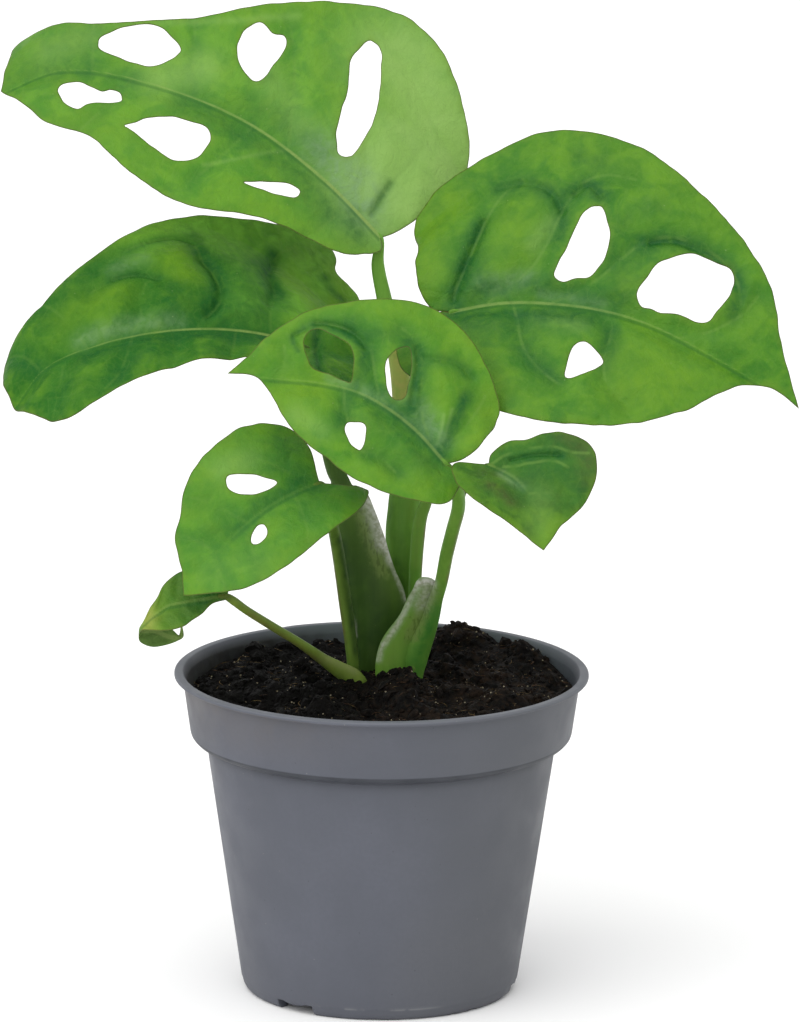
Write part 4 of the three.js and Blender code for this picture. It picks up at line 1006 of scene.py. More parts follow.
def drain(name, turn, sides=24):
    """A rod that cuts one drain hole into the pot's floor."""
    middle = np.array((DRAIN_CIRCLE * math.cos(turn), DRAIN_CIRCLE * math.sin(turn), FOOT_HEIGHT + WALL / 2))
    points = np.vstack([middle + ring(DRAIN_RADIUS, sides, end) for end in (-2 * WALL, 2 * WALL)])
    ends = [tuple(range(sides))[::-1], tuple(range(sides, 2 * sides))]
    return mesh_object(name, points, ends + bands(0, 1, sides), smooth=False)


def make_pot():
    profile = pot_profile()
    rings = len(profile) - 2
    first, last = ([(0, 0, profile[end][1])] for end in (0, -1))
    points = np.vstack([first, *(ring(r, POT_SIDES, z) for r, z in profile[1:-1]), last])
    faces = fan(0, 1, POT_SIDES, flip=True) + bands(1, rings - 1, POT_SIDES)
    faces += fan(len(points) - 1, len(points) - 1 - POT_SIDES, POT_SIDES)
    pot = mesh_object("nursery_pot", points, faces)
    turns = [math.radians(FOOT_GAP_FIRST + 360 / FOOT_GAPS * i) for i in range(FOOT_GAPS)]
    cutters = [foot_gap(f"foot_gap_{i}", turn) for i, turn in enumerate(turns)]
    cutters += [drain(f"drain_{i}", 2 * math.pi / DRAINS * (i + 0.5)) for i in range(DRAINS)]
    for cutter in cutters:
        cut = pot.modifiers.new("cut", "BOOLEAN")
        cut.object = cutter
        cut.operation = "DIFFERENCE"
        cut.solver = "EXACT"
    settle(pot)
    for cutter in cutters:
        bpy.data.objects.remove(cutter)
    wear(pot.data)
    mark_the_pot(pot.data)
    dress(pot, pot_plastic(), "pot", "pot")


def wear(mesh):
    """Small knocks along the lip's outer edge and scuffs on the sole."""
    points = read_vectors(mesh.vertices, "co") / MM
    angle = np.degrees(np.arctan2(points[:, 1], points[:, 0])) % 360
    reach = np.hypot(points[:, 0], points[:, 1])
    knock, scuff = (
        sum(deep * hump(angle - at, wide) for at, wide, deep in spots) for spots in (LIP_KNOCKS, FOOT_SCUFFS)
    )
    knock *= fade(points[:, 2], POT_HEIGHT - 1.3, POT_HEIGHT - 0.2) * fade(reach, 58.6, 59.8)
    points[:, 2] -= knock
    points[:, :2] *= (1 - 0.6 * knock / reach.clip(1))[:, None]
    points[:, 2] += scuff * (1 - fade(points[:, 2], 0.2, 1.6)) * fade(reach, 36, 37.5)
    mesh.vertices.foreach_set("co", (points * MM).ravel())
    mesh.update()


def mark_the_pot(mesh):
    """Where the wall faces inward, where dirt lies, and where shade and highlights are painted on."""
    x, y, high = (read_vectors(mesh.vertices, "co") / MM).T
    normals = read_vectors(mesh.vertex_normals, "vector")
    reach = np.hypot(x, y).clip(1)
    outward = (x * normals[:, 0] + y * normals[:, 1]) / reach
    inner = (outward < -0.3) * (high > 20) * fade(reach, 45, 52)
    outer = outward > 0.2
    under_band = (outward > -0.6) * (high < BAND_BOTTOM - 0.6)
    marks = {
        # inside: painted shade that darkens the inner wall
        "inside": inner * (1 - fade(high, 91.5, 93.5)),
        # Painted shade, darker towards the left of the inner wall.
        "left_inside_shade": inner * fade(-x, 0, 34) * (1 - fade(high, 90.5, 93.5)),
        # band_shade: painted shade just below the band
        "band_shade": under_band * fade(high, BODY_TOP - 3.6, BODY_TOP + 1.6) ** 1.8,
        "rub": outer * hump(high - 3.4, 0.3) * fade(-y / reach, 0.86, 0.95),
        # lip: painted highlight along the top of the lip
        "lip": fade(high, POT_HEIGHT - 0.7, POT_HEIGHT - 0.3) * (outward > -0.6),
        "grime": outer * fade(high, 82, 92.5) * (high < 93) * fade(-x, -10, 45),
        "lit": inner * fade(y, 5, 45) * fade(x, -45, -20),
        # Painted shade: greyer and darker towards the right of the outside.
        "right_side_shade": outer * fade(x, -10, 45),
    }
    write_marks(mesh, marks)


def pot_plastic():
    """Satin grey plastic: faint clouding, fine grain, a few specks, painted shade inside, under the band and
    on the right, and painted highlights on the lip and at the back inside.
    """
    p = Finish("grey_pot_plastic")
    p.colour = p.blend(p.cloud(30, 3, 0.35, 0.65), (100, 103, 113), (105, 108, 119))
    p.coat(p.cloud(60, 1, 0.5, 0.7), 0.35, (104, 105, 109))
    p.coat(p.cloud(1.4, 4, 0.35, 0.65), 0.25, (97, 100, 109))
    p.coat(p.dots(4.2, 0.02, 0.06), p.cloud(8, 2, 0.52, 0.6), (142, 143, 144))
    p.coat(p.dots(5.1, 0.03, 0.06), 0.45, (72, 74, 80))
    p.coat(p.soft("grime", 9), 0.5, (116, 110, 106))
    # Painted shade towards the right of the outside.
    p.coat(p.mark("right_side_shade"), 0.5, (100, 102, 104))
    # Painted shade just below the band.
    p.coat(p.soft("band_shade", 9, 0.8, 1), 0.85, (56, 59, 66))
    p.coat(p.mark("rub"), p.between(p.noise(7, 3), 0.5, 0.6, 0, 0.5), (150, 152, 154))
    # Painted highlight along the top of the lip.
    p.coat(p.mark("lip"), 0.45, (132, 136, 144))
    # Painted shade over the inner wall.
    p.coat(p.soft("inside", 7, 0.85, 1), 0.9, (78, 84, 92))
    p.coat(p.mark("lit"), 0.9, (112, 121, 126))
    # Painted shade on the left of the inner wall, blotchy and brownish.
    left_inside_shade_tone = p.blend(p.cloud(4, 4, 0.4, 0.6), (38, 36, 31), (54, 54, 50))
    p.coat(p.soft("left_inside_shade", 6, 0.8, 1.1), 0.95, left_inside_shade_tone)
    waves = p.relief(p.noise(16, 1), 0.1, p.relief(p.noise(0.35), 0.02))
    return p.finish(p.rough(12, 3, 0.46, 0.6), waves, 0.25)


# Soil


def soil_lumps():
    """The mounds, some thick clods and many small lumps and pits: x, y, height and size."""
    draw = np.random.default_rng(SEED)
    lumps = list(MOUNDS)
    for count, sizes, heights in LUMPS:
        for i in range(count):
            reach = LUMPS_REACH * math.sqrt((i + 0.5) / count)
            angle = i * GOLDEN_ANGLE + draw.uniform(-0.3, 0.3)
            size = draw.uniform(*sizes)
            height = size * draw.uniform(*heights) * (1 if draw.random() > 0.45 else -0.9)
            lumps.append((reach * math.cos(angle), reach * math.sin(angle), height, size))
    return lumps


def make_soil():
    """The soil's top as a fine heap of lumps that reaches down behind the pot's wall."""
    reaches = [SOIL_RADIUS * (i / SOIL_RINGS) ** 0.85 for i in range(1, SOIL_RINGS + 1)]
    top = np.vstack([[(0, 0, 0)], *(ring(reach, SOIL_SIDES) for reach in reaches)])
    height = np.full(len(top), SOIL_LEVEL)
    for x, y, lift, size in soil_lumps():
        height += lift * np.exp(-((top[:, 0] - x) ** 2 + (top[:, 1] - y) ** 2) / size**2)
    grain = np.random.default_rng(SEED + 1).normal(0, 0.12, len(top) - 1)
    height[1:] += grain * (np.hypot(top[1:, 0], top[1:, 1]) > 2)
    top[:, 2] = height
    skirt = ring(BODY_TOP_RADIUS - WALL - 0.6, SOIL_SIDES, SOIL_SHOULDER)
    foot = ring(SOIL_FOOT_RADIUS, SOIL_SIDES, SOIL_FOOT)
    points = np.vstack([top, skirt, foot, [(0, 0, SOIL_FOOT)]])
    faces = fan(0, 1, SOIL_SIDES) + bands(1, SOIL_RINGS + 1, SOIL_SIDES, flip=True)
    faces += fan(len(points) - 1, len(points) - 1 - SOIL_SIDES, SOIL_SIDES, flip=True)
    soil = mesh_object("potting_soil", points, faces)
    dress(soil, soil_finish("damp_soil"), "soil", "soil")
    return soil


def soil_finish(name, light=(40, 31, 23)):
    """Near-black crumbs with brown flecks, and painted shade that makes the left darker."""
    s = Finish(name)
    s.colour = s.blend(s.cloud(1.6, 6, 0.42, 0.68), (7, 5, 4), light)
    s.coat(s.cloud(11, 3, 0.48, 0.66, warp=0.8), 0.25, (58, 42, 29))
    s.coat(s.cloud(5, 3, 0.5, 0.62, warp=0.6), 0.7, (5, 4, 3))
    s.coat(s.dots(2.1, 0.06, 0.13), s.cloud(6, 2, 0.5, 0.6), (104, 88, 66))
    # Painted shade: darker towards the left of the soil.
    s.coat(s.near(s.add("SeparateXYZ", {0: s.place}, "X"), -0.02, 0.012), 0.95, (5, 4, 3))
    lumpy = s.relief(s.noise(1.9, 4), 1, s.relief(s.noise(0.5, 4), 0.25))
    return s.finish(s.rough(0.8, 3, 0.7, 0.95), lumpy, 0.12)


def grit_finish():
    g = Finish("pale_grit")
    g.colour = g.blend(g.cloud(0.9, 3, 0.4, 0.6), (104, 92, 68), (186, 176, 150))
    return g.finish(g.rough(0.4, 2, 0.6, 0.85), g.relief(g.noise(0.25, 3), 0.08), 0.2)


def bark_finish(name, dark, light):
    b = Finish(name)
    b.colour = b.blend(b.cloud(1.2, 3, 0.4, 0.62), dark, light)
    return b.finish(b.rough(0.4, 2, 0.7, 0.9), b.relief(b.noise(0.3, 3), 0.1), 0.15)


def top_faces(mesh):
    """The part of the soil's mesh that faces up, as a mesh of its own."""
    shape = bmesh.new()
    shape.from_mesh(mesh)
    reach = LUMPS_REACH * MM
    hidden = [f for f in shape.faces if f.normal.z < 0.2 or f.calc_center_median().xy.length > reach]
    bmesh.ops.delete(shape, geom=hidden, context="FACES")
    top = bpy.data.meshes.new("soil_top")
    shape.to_mesh(top)
    shape.free()
    return top


def crumb(name, draw, stretch=(1, 1, 1), corners=18, rough=0.3):
    """One small lump about a millimetre across."""
    shape = bmesh.new()
    for i in range(corners):
        z = 1 - 2 * (i + 0.5) / corners
        level = math.sqrt(1 - z * z)
        size = 0.5 * (1 + draw.uniform(-rough, rough))
        place = (level * math.cos(i * GOLDEN_ANGLE), level * math.sin(i * GOLDEN_ANGLE), z)
        shape.verts.new([size * s * c * MM for s, c in zip(stretch, place)])
    bmesh.ops.convex_hull(shape, input=shape.verts)
    mesh = bpy.data.meshes.new(name)
    shape.to_mesh(mesh)
    shape.free()
    return bpy.data.objects.new(name, mesh)


def fibre(name, draw, length, width, runs=6):
    """One bent strip of bark or root, lying along x."""
    points = []
    bend, lift = draw.uniform(-0.3, 0.3), draw.uniform(0, 0.25)
    for i in range(runs + 1):
        u = i / runs
        x, y, z = length * (u - 0.5), length * bend * math.sin(math.pi * u), length * lift * u * (1 - u)
        half = width * (0.25 + 0.75 * math.sin(math.pi * (0.1 + 0.8 * u)))
        points += [(x, y - half, z), (x, y, z + 0.6 * half), (x, y + half, z), (x, y, z - 0.6 * half)]
    faces = bands(0, runs, 4, flip=True) + [(0, 1, 2, 3), tuple(4 * runs + k for k in (3, 2, 1, 0))]
    mesh = bpy.data.meshes.new(name)
    mesh.from_pydata(np.array(points) * MM, [], faces)
    return bpy.data.objects.new(name, mesh)


def scattered(name, ground, shapes, finish, density, sizes, lift, tilt, seed):
    """Copies of some small shapes strewn over the ground, by a Geometry Nodes tree."""
    tree = bpy.data.node_groups.new(name, "GeometryNodeTree")
    face = tree.interface
    face.new_socket("Ground", in_out="INPUT", socket_type="NodeSocketGeometry")
    wanted = {}
    for label, value, kind in (
        ("Pieces per square centimetre", density, "Float"),
        ("Smallest", sizes[0], "Float"),
        ("Largest", sizes[1], "Float"),
        ("Lift", lift * MM, "Float"),
        ("Seed", seed, "Int"),
    ):
        socket = face.new_socket(label, in_out="INPUT", socket_type=f"NodeSocket{kind}")
        wanted[socket.identifier] = value
    face.new_socket("Litter", in_out="OUTPUT", socket_type="NodeSocketGeometry")
    given = tree.nodes.new("NodeGroupInput").outputs
    per_metre = add_node(
        tree,
        "ShaderNodeMath",
        {0: given["Pieces per square centimetre"], 1: 10000},
        operation="MULTIPLY",
    )
    places = add_node(
        tree,
        "GeometryNodeDistributePointsOnFaces",
        {"Mesh": given["Ground"], "Density": per_metre.outputs[0], "Seed": given["Seed"]},
    )
    kinds = add_node(
        tree,
        "GeometryNodeCollectionInfo",
        {"Separate Children": True, "Reset Children": True, "Collection": shapes},
    )
    turn = add_node(
        tree,
        "FunctionNodeRandomValue",
        {0: (-tilt, -tilt, 0), 1: (tilt, tilt, 6.28)},
        data_type="FLOAT_VECTOR",
    )
    grow = add_node(
        tree,
        "FunctionNodeRandomValue",
        {2: given["Smallest"], 3: given["Largest"]},
        data_type="FLOAT",
    )
    laid_out = add_node(
        tree,
        "GeometryNodeInstanceOnPoints",
        {
            "Points": places.outputs["Points"],
            "Instance": kinds.outputs[0],
            "Pick Instance": True,
            "Rotation": turn.outputs[0],
            "Scale": grow.outputs[1],
        },
    )
    up = add_node(tree, "ShaderNodeCombineXYZ", {"Z": given["Lift"]})
    moved = add_node(
        tree,
        "GeometryNodeTranslateInstances",
        {"Instances": laid_out.outputs[0], "Translation": up.outputs[0], "Local Space": False},
    )
    real = add_node(tree, "GeometryNodeRealizeInstances", {0: moved.outputs[0]})
    dressed = add_node(
        tree, "GeometryNodeSetMaterial", {"Geometry": real.outputs[0], "Material": finish}
    )
    add_node(tree, "NodeGroupOutput", {0: dressed.outputs[0]})
    holder = bpy.data.objects.new(name, ground.data.copy())
    bpy.context.scene.collection.objects.link(holder)
    grower = holder.modifiers.new(name, "NODES")
    grower.node_group = tree
    for identifier, value in wanted.items():
        grower[identifier] = value
    settle(holder)
    return holder


def shelf(name, shapes):
    """Shapes to strew, kept out of the scene itself."""
    kept = bpy.data.collections.new(name)
    for shape in shapes:
        kept.objects.link(shape)
    return kept


def soil_litter(soil):
    """Crumbs, pale grit and fibres on the soil. Crumbs lie any way up, and fibres nearly flat."""
    top = bpy.data.objects.new("soil_top", top_faces(soil.data))
    draw = np.random.default_rng(SEED + 2)
    crumbs = shelf(
        "crumbs",
        [crumb(f"crumb_{i}", draw, (1, draw.uniform(0.6, 1), draw.uniform(0.5, 0.9))) for i in range(6)],
    )
    grit = shelf("grit", [crumb(f"grit_{i}", draw) for i in range(3)])
    fibres, threads = (
        shelf(
            name,
            [fibre(f"{name}_{i}", draw, draw.uniform(2.5, 6), draw.uniform(*widths)) for i in range(5)],
        )
        for name, widths in (("fibre", (0.08, 0.28)), ("thread", (0.05, 0.09)))
    )
    bark = bark_finish("bark_fibre", (34, 24, 17), (84, 60, 40))
    pale = bark_finish("pale_thread", (84, 64, 40), (156, 132, 88))
    any_way, flat = 3.1, 0.35
    kinds = [
        ("soil_crumbs", crumbs, soil_finish("soil_crumb", (46, 35, 26)), 26.0, (0.4, 2.6), -0.2, any_way),
        ("soil_grit", grit, grit_finish(), 4.0, (0.15, 0.6), 0.3, any_way),
        ("soil_fibres", fibres, bark, 2.0, (0.35, 1.0), 0.4, flat),
        ("soil_clods", crumbs, soil_finish("soil_clod"), 1.6, (3.2, 6.5), -0.6, any_way),
        ("soil_threads", threads, pale, 1.3, (0.4, 1.0), 0.8, flat),
    ]
    for index, (name, shapes, finish, *rest) in enumerate(kinds):
        made = scattered(name, top, shapes, finish, *rest, SEED + index)
        dress(made, finish, "soil")


# Blades. SWELL_REACH is how far from a vein the leaf comes near to its full swelling, and
# STROKE_SPREAD how softly a painted stroke runs out at its edge.

SWELL_REACH = 4.2
STROKE_SPREAD = 1.2
RIB_GROOVE_DEPTH = 0.35
RIB_GROOVE_WIDTH = 1.1


def midrib_line(blade):
    """The midrib's y at any x, as a smooth function."""
    x, y = np.array([(0, 0), *blade["midrib"], (blade["length"], 0)], float).T
    wide_x, wide_y = np.pad(x, 1, mode="edge"), np.pad(y, 1, mode="edge")
    slopes = (wide_y[2:] - wide_y[:-2]) / (wide_x[2:] - wide_x[:-2])

    def height(at):
        at = np.clip(at, 0, blade["length"])
        i = np.clip(np.searchsorted(x, at, side="right") - 1, 0, len(x) - 2)
        width = x[i + 1] - x[i]
        return hermite(y[i], y[i + 1], width * slopes[i], width * slopes[i + 1], (at - x[i]) / width)

    return height


def reach_at(blade, along, away):
    """0 on the midrib and about 1 at the margin."""
    taper = np.clip(1 - ((along / blade["length"] - 0.42) / 0.64) ** 2, 0.08, 1)
    return np.minimum(away / (blade["half_width"] * np.sqrt(taper)), 1.15)


def side_veins(blade):
    """All the side veins of a blade as lines in its own frame."""
    midrib = midrib_line(blade)
    lines = [np.array(line, float) for line in blade["traced"]]
    away = np.linspace(0, 1.6 * blade["half_width"], 40)
    for sign, starts in zip((1, -1), blade["laterals"]):
        for start in starts:
            reach = reach_at(blade, start, away)
            x = start + 0.32 * away + blade["loop"] * reach**4
            lines.append(np.column_stack([x, midrib(x) + sign * away])[reach < 0.86])
    return [evenly(flowing(line[:: max(1, len(line) // 8)], steps=6), 2) for line in lines if len(line) > 2]


def painted(points, marks, kinds):
    """Soft strokes as one strength from 0 to 1 for each kind at each point."""
    strengths = {}
    for kind in kinds:
        clear = np.ones(len(points))
        for reach, strength, *line in marks.get(kind, []):
            gap = distance_to(points, flowing(line, steps=5))
            clear *= 1 - strength * np.exp(-((gap / reach) ** 2) / STROKE_SPREAD)
        strengths[kind] = 1 - clear
    return strengths


def blade_surface(blade, points):
    """Height of the leaf's middle surface, and what its material needs to know, at each point."""
    x = points[:, 0]
    across = points[:, 1] - midrib_line(blade)(x)
    away = np.abs(across)
    along = x / blade["length"]
    reach = reach_at(blade, x, away)
    slope = np.where(across > 0, *blade["rise"])
    height = blade["arch"] * 4 * along * (1 - along)
    height -= blade["droop"] * np.clip((along - 0.6) / 0.4, 0, 2) ** 2
    height += slope * (np.hypot(away, 3) - 3) - blade["curl"] * reach**2
    gap = np.min([distance_to(points, vein) for vein in side_veins(blade)], axis=0)
    ramp = fade(away, 0, 7) * np.clip((1.05 - reach) * 3, 0, 1)
    height += blade["swell"] * ramp * (1 - np.exp(-((gap / SWELL_REACH) ** 1.5)))
    rib_gap = np.hypot(np.minimum(x, 0), across)
    fading = 1 - fade(along, 0.6 * blade["rib_end"], blade["rib_end"])
    height -= RIB_GROOVE_DEPTH * (1 - 0.7 * along.clip(0, 1)) * fading * hump(rib_gap, RIB_GROOVE_WIDTH)
    for deep, wide, *line in blade["creases"]:
        height -= deep * hump(distance_to(points, flowing(line, steps=5)), wide)
    marks = painted(points, blade["marks"], LEAF_MARKS)
    behind_stalk = 1000 * (x < 0)
    low = across * blade["low_side"] + behind_stalk
    marks |= {"midrib": rib_gap, "lower": low, "vein": gap, "along": along}
    return height, marks


def uneven(line, draw, closed=False, depth=0.13):
    """The same line with small irregular bulges and dents, as a grown edge has."""
    ahead = np.roll(line, -1, axis=0) - np.roll(line, 1, axis=0) if closed else np.gradient(line, axis=0)
    aside = np.column_stack([-ahead[:, 1], ahead[:, 0]]) / np.linalg.norm(ahead, axis=1)[:, None].clip(1e-9)
    length = np.linalg.norm(np.diff(line, axis=0), axis=1).sum()
    share = np.arange(len(line)) / len(line)
    shift = np.zeros(len(line))
    for wave, part in ((14, 1.0), (7.5, 0.7), (4.4, 0.3)):
        times = max(2, round(length / wave * draw.uniform(0.85, 1.15)))
        swell = 1 if closed else 0.6 + 0.4 * np.sin(2 * np.pi * (share * 1.7 + draw.random()))
        shift += depth * part * swell * np.sin(2 * np.pi * (share * times + draw.random()))
    if not closed:
        shift *= fade(share * length, 0, 5) * fade((1 - share) * length, 0, 5)
    return line + aside * shift[:, None]


def leaf_mesh(outline, holes, spacing):
    """Points and triangles, all facing +z, that fill an outline around its holes."""
    loops = [outline, *holes]
    low, high = outline.min(axis=0), outline.max(axis=0)
    lattice = []
    for index, y in enumerate(np.arange(low[1], high[1], spacing * math.sqrt(3) / 2)):
        xs = np.arange(low[0], high[0], spacing) + (index % 2) * spacing / 2
        lattice.append(np.column_stack([xs, np.full_like(xs, y)]))
    lattice = np.vstack(lattice)
    lattice = lattice[on_leaf(lattice, outline, holes)]
    lattice = lattice[from_loops(lattice, loops, 2) > 0.55 * spacing]
    edges, start = [], 0
    for loop in loops:
        corners = list(range(start, start + len(loop)))
        edges += list(zip(corners, corners[1:] + corners[:1]))
        start += len(loop)
    made = delaunay_2d_cdt([Vector(p) for p in (*np.vstack(loops), *lattice)], edges, [], 0, 1e-6, False)
    flat = np.array([tuple(p) for p in made[0]])
    faces = np.array(made[2])
    faces = faces[on_leaf(flat[faces].mean(axis=1), outline, holes)]
    a, b, c = (flat[faces[:, k]] for k in range(3))
    turn = (b[:, 0] - a[:, 0]) * (c[:, 1] - a[:, 1]) - (b[:, 1] - a[:, 1]) * (c[:, 0] - a[:, 0])
    return flat, np.where(turn[:, None] < 0, faces[:, [0, 2, 1]], faces)


def closed_sheet(name, sheet, away, faces, marks):
    """A closed leaf: an upper and a lower face away from its middle sheet, and a strip along its margin."""
    n = len(sheet)
    users = {}
    for face in faces:
        for a, b in zip(face, np.roll(face, -1)):
            users.setdefault((min(a, b), max(a, b)), []).append((int(a), int(b)))
    rim = [pairs[0] for pairs in users.values() if len(pairs) == 1]
    whole = [tuple(map(int, f)) for f in faces] + [(int(a) + n, int(c) + n, int(b) + n) for a, b, c in faces]
    whole += [(a, a + n, b + n, b) for a, b in rim]
    doubled = {label: np.tile(values, 2) for label, values in marks.items()}
    doubled["underside"] = np.repeat([0, 1], n)
    return mesh_object(name, np.vstack([sheet, away]), whole, doubled)


def laid(blade, points):
    """Points of a blade's own frame where the plant holds them."""
    heading, rise, roll = (math.radians(a) for a in blade["turn"])
    turn = Matrix.Rotation(heading, 3, "Z") @ Matrix.Rotation(-rise, 3, "Y") @ Matrix.Rotation(roll, 3, "X")
    return points @ np.array(turn).T + np.array(blade["place"])


def underside_at(blade, x):
    """The point under the midrib where its stalk runs into the leaf."""
    flat = np.array([[x, float(midrib_line(blade)(x))]])
    height = blade_surface(blade, flat)[0]
    return laid(blade, np.column_stack([flat, height - LEAF_THICKNESS]))[0]


def steepness(points, faces):
    """How much longer the leaf is than its flat drawing at each point: 1 where it lies flat."""
    a, b, c = (points[faces[:, k]] for k in range(3))
    total = np.zeros_like(points)
    for k in range(3):
        np.add.at(total, faces[:, k], np.cross(b - a, c - a))
    return np.linalg.norm(total, axis=1) / np.abs(total[:, 2]).clip(1e-9)


def half_thickness(margin, rounding):
    """Half the leaf's thickness, less towards its margin."""
    return LEAF_THICKNESS / 2 * (0.35 + 0.65 * fade(margin, 0, rounding))


def make_blade(name, blade):
    draw = np.random.default_rng(SEED + len(name) + int(blade["length"]))
    spacing = 0.9 * blade["grid"]
    sides = [uneven(evenly(flowing(side), spacing), draw) for side in blade["sides"]]
    outline = np.vstack([sides[0][:-1], sides[1][1:][::-1]])
    holes = [
        uneven(evenly(flowing(hole, closed=True), spacing, closed=True), draw, True, 0.1)
        for hole in blade["holes"]
    ]
    flat, faces = leaf_mesh(outline, holes, blade["grid"])
    height, marks = blade_surface(blade, flat)
    marks["margin"] = margin = from_loops(flat, [outline, *holes])
    half = half_thickness(margin, 1.2) * np.minimum(steepness(np.column_stack([flat, height]), faces), 1.5)
    keel = 0.7 * hump(marks["midrib"], 0.8) * (1 - marks["along"].clip(0, 1)) ** 0.7 * fade(margin, 0.2, 1.5)
    upper = laid(blade, np.column_stack([flat, height + half]))
    lower = laid(blade, np.column_stack([flat, height - half - keel]))
    return closed_sheet(f"leaf_{name}", upper, lower, faces, marks)


def soft_ramp(v, soft=0.22):
    """0 below 0 and up to 1 at 1, with a soft bend between."""
    return (v + np.sqrt(v * v + soft * soft) - soft) / (1 + math.sqrt(1 + soft * soft) - soft)


def make_curled_blade(rows=220, columns=24):
    """The leaf whose tip turns back under it: a sheet through its margins and midrib."""
    run = np.linspace(0, 1, rows + 1)
    back, middle, front = (through([station[k] for station in CURLED_STATIONS], run) for k in range(3))
    u = np.linspace(-1, 1, 2 * columns + 1)
    sheet = middle[:, None] + soft_ramp(u)[:, None] * (front - middle)[:, None]
    sheet = sheet + soft_ramp(-u)[:, None] * (back - middle)[:, None]
    normal = np.cross(np.gradient(sheet, axis=0), np.gradient(sheet, axis=1))
    normal /= np.linalg.norm(normal, axis=2, keepdims=True).clip(1e-9)
    widths = [np.linalg.norm(side - middle, axis=1)[:, None] for side in (back, front)]
    width = np.where(u < 0, *widths)
    away = np.abs(u) * width
    margin = (1 - np.abs(u)) * width
    waves = run[:, None] * 9 + np.abs(u) * 0.8
    ripple = 0.18 * np.sin(2 * np.pi * waves) * fade(away, 0.5, 2) * fade(margin, 0, 1.5)
    half = half_thickness(margin, 1)
    upper, lower = (
        (sheet + normal * (ripple + shift)[..., None]).reshape(-1, 3) for shift in (half, -half)
    )
    corners = np.arange(sheet.size // 3).reshape(rows + 1, -1)
    a, b = corners[:-1, :-1].ravel(), corners[:-1, 1:].ravel()
    c, d = corners[1:, :-1].ravel(), corners[1:, 1:].ravel()
    faces = np.column_stack([a, c, b, b, c, d]).reshape(-1, 3)
    along = np.repeat(run, len(u))
    marks = {kind: np.zeros(len(along)) for kind in LEAF_MARKS}
    marks |= {
        "midrib": away.ravel(),
        "lower": (away * np.sign(u)).ravel(),
        "vein": 0.2 + 3 * np.abs(np.sin(np.pi * waves)).ravel(),
        "along": along,
        "margin": margin.ravel(),
        # deep: painted shade near the base and on the part turned under.
        "deep": 0.55 * hump(along - 0.1, 0.1) + 0.3 * fade(along, 0.64, 0.7),
        "warm": hump(along - 0.47, 0.14),
        "brown": 0.8 * fade(along, 0.9, 1),
        "straw": 0.9 * hump(along - 0.49, 0.07),
    }
    return closed_sheet("leaf_curled", upper, lower, faces, marks)


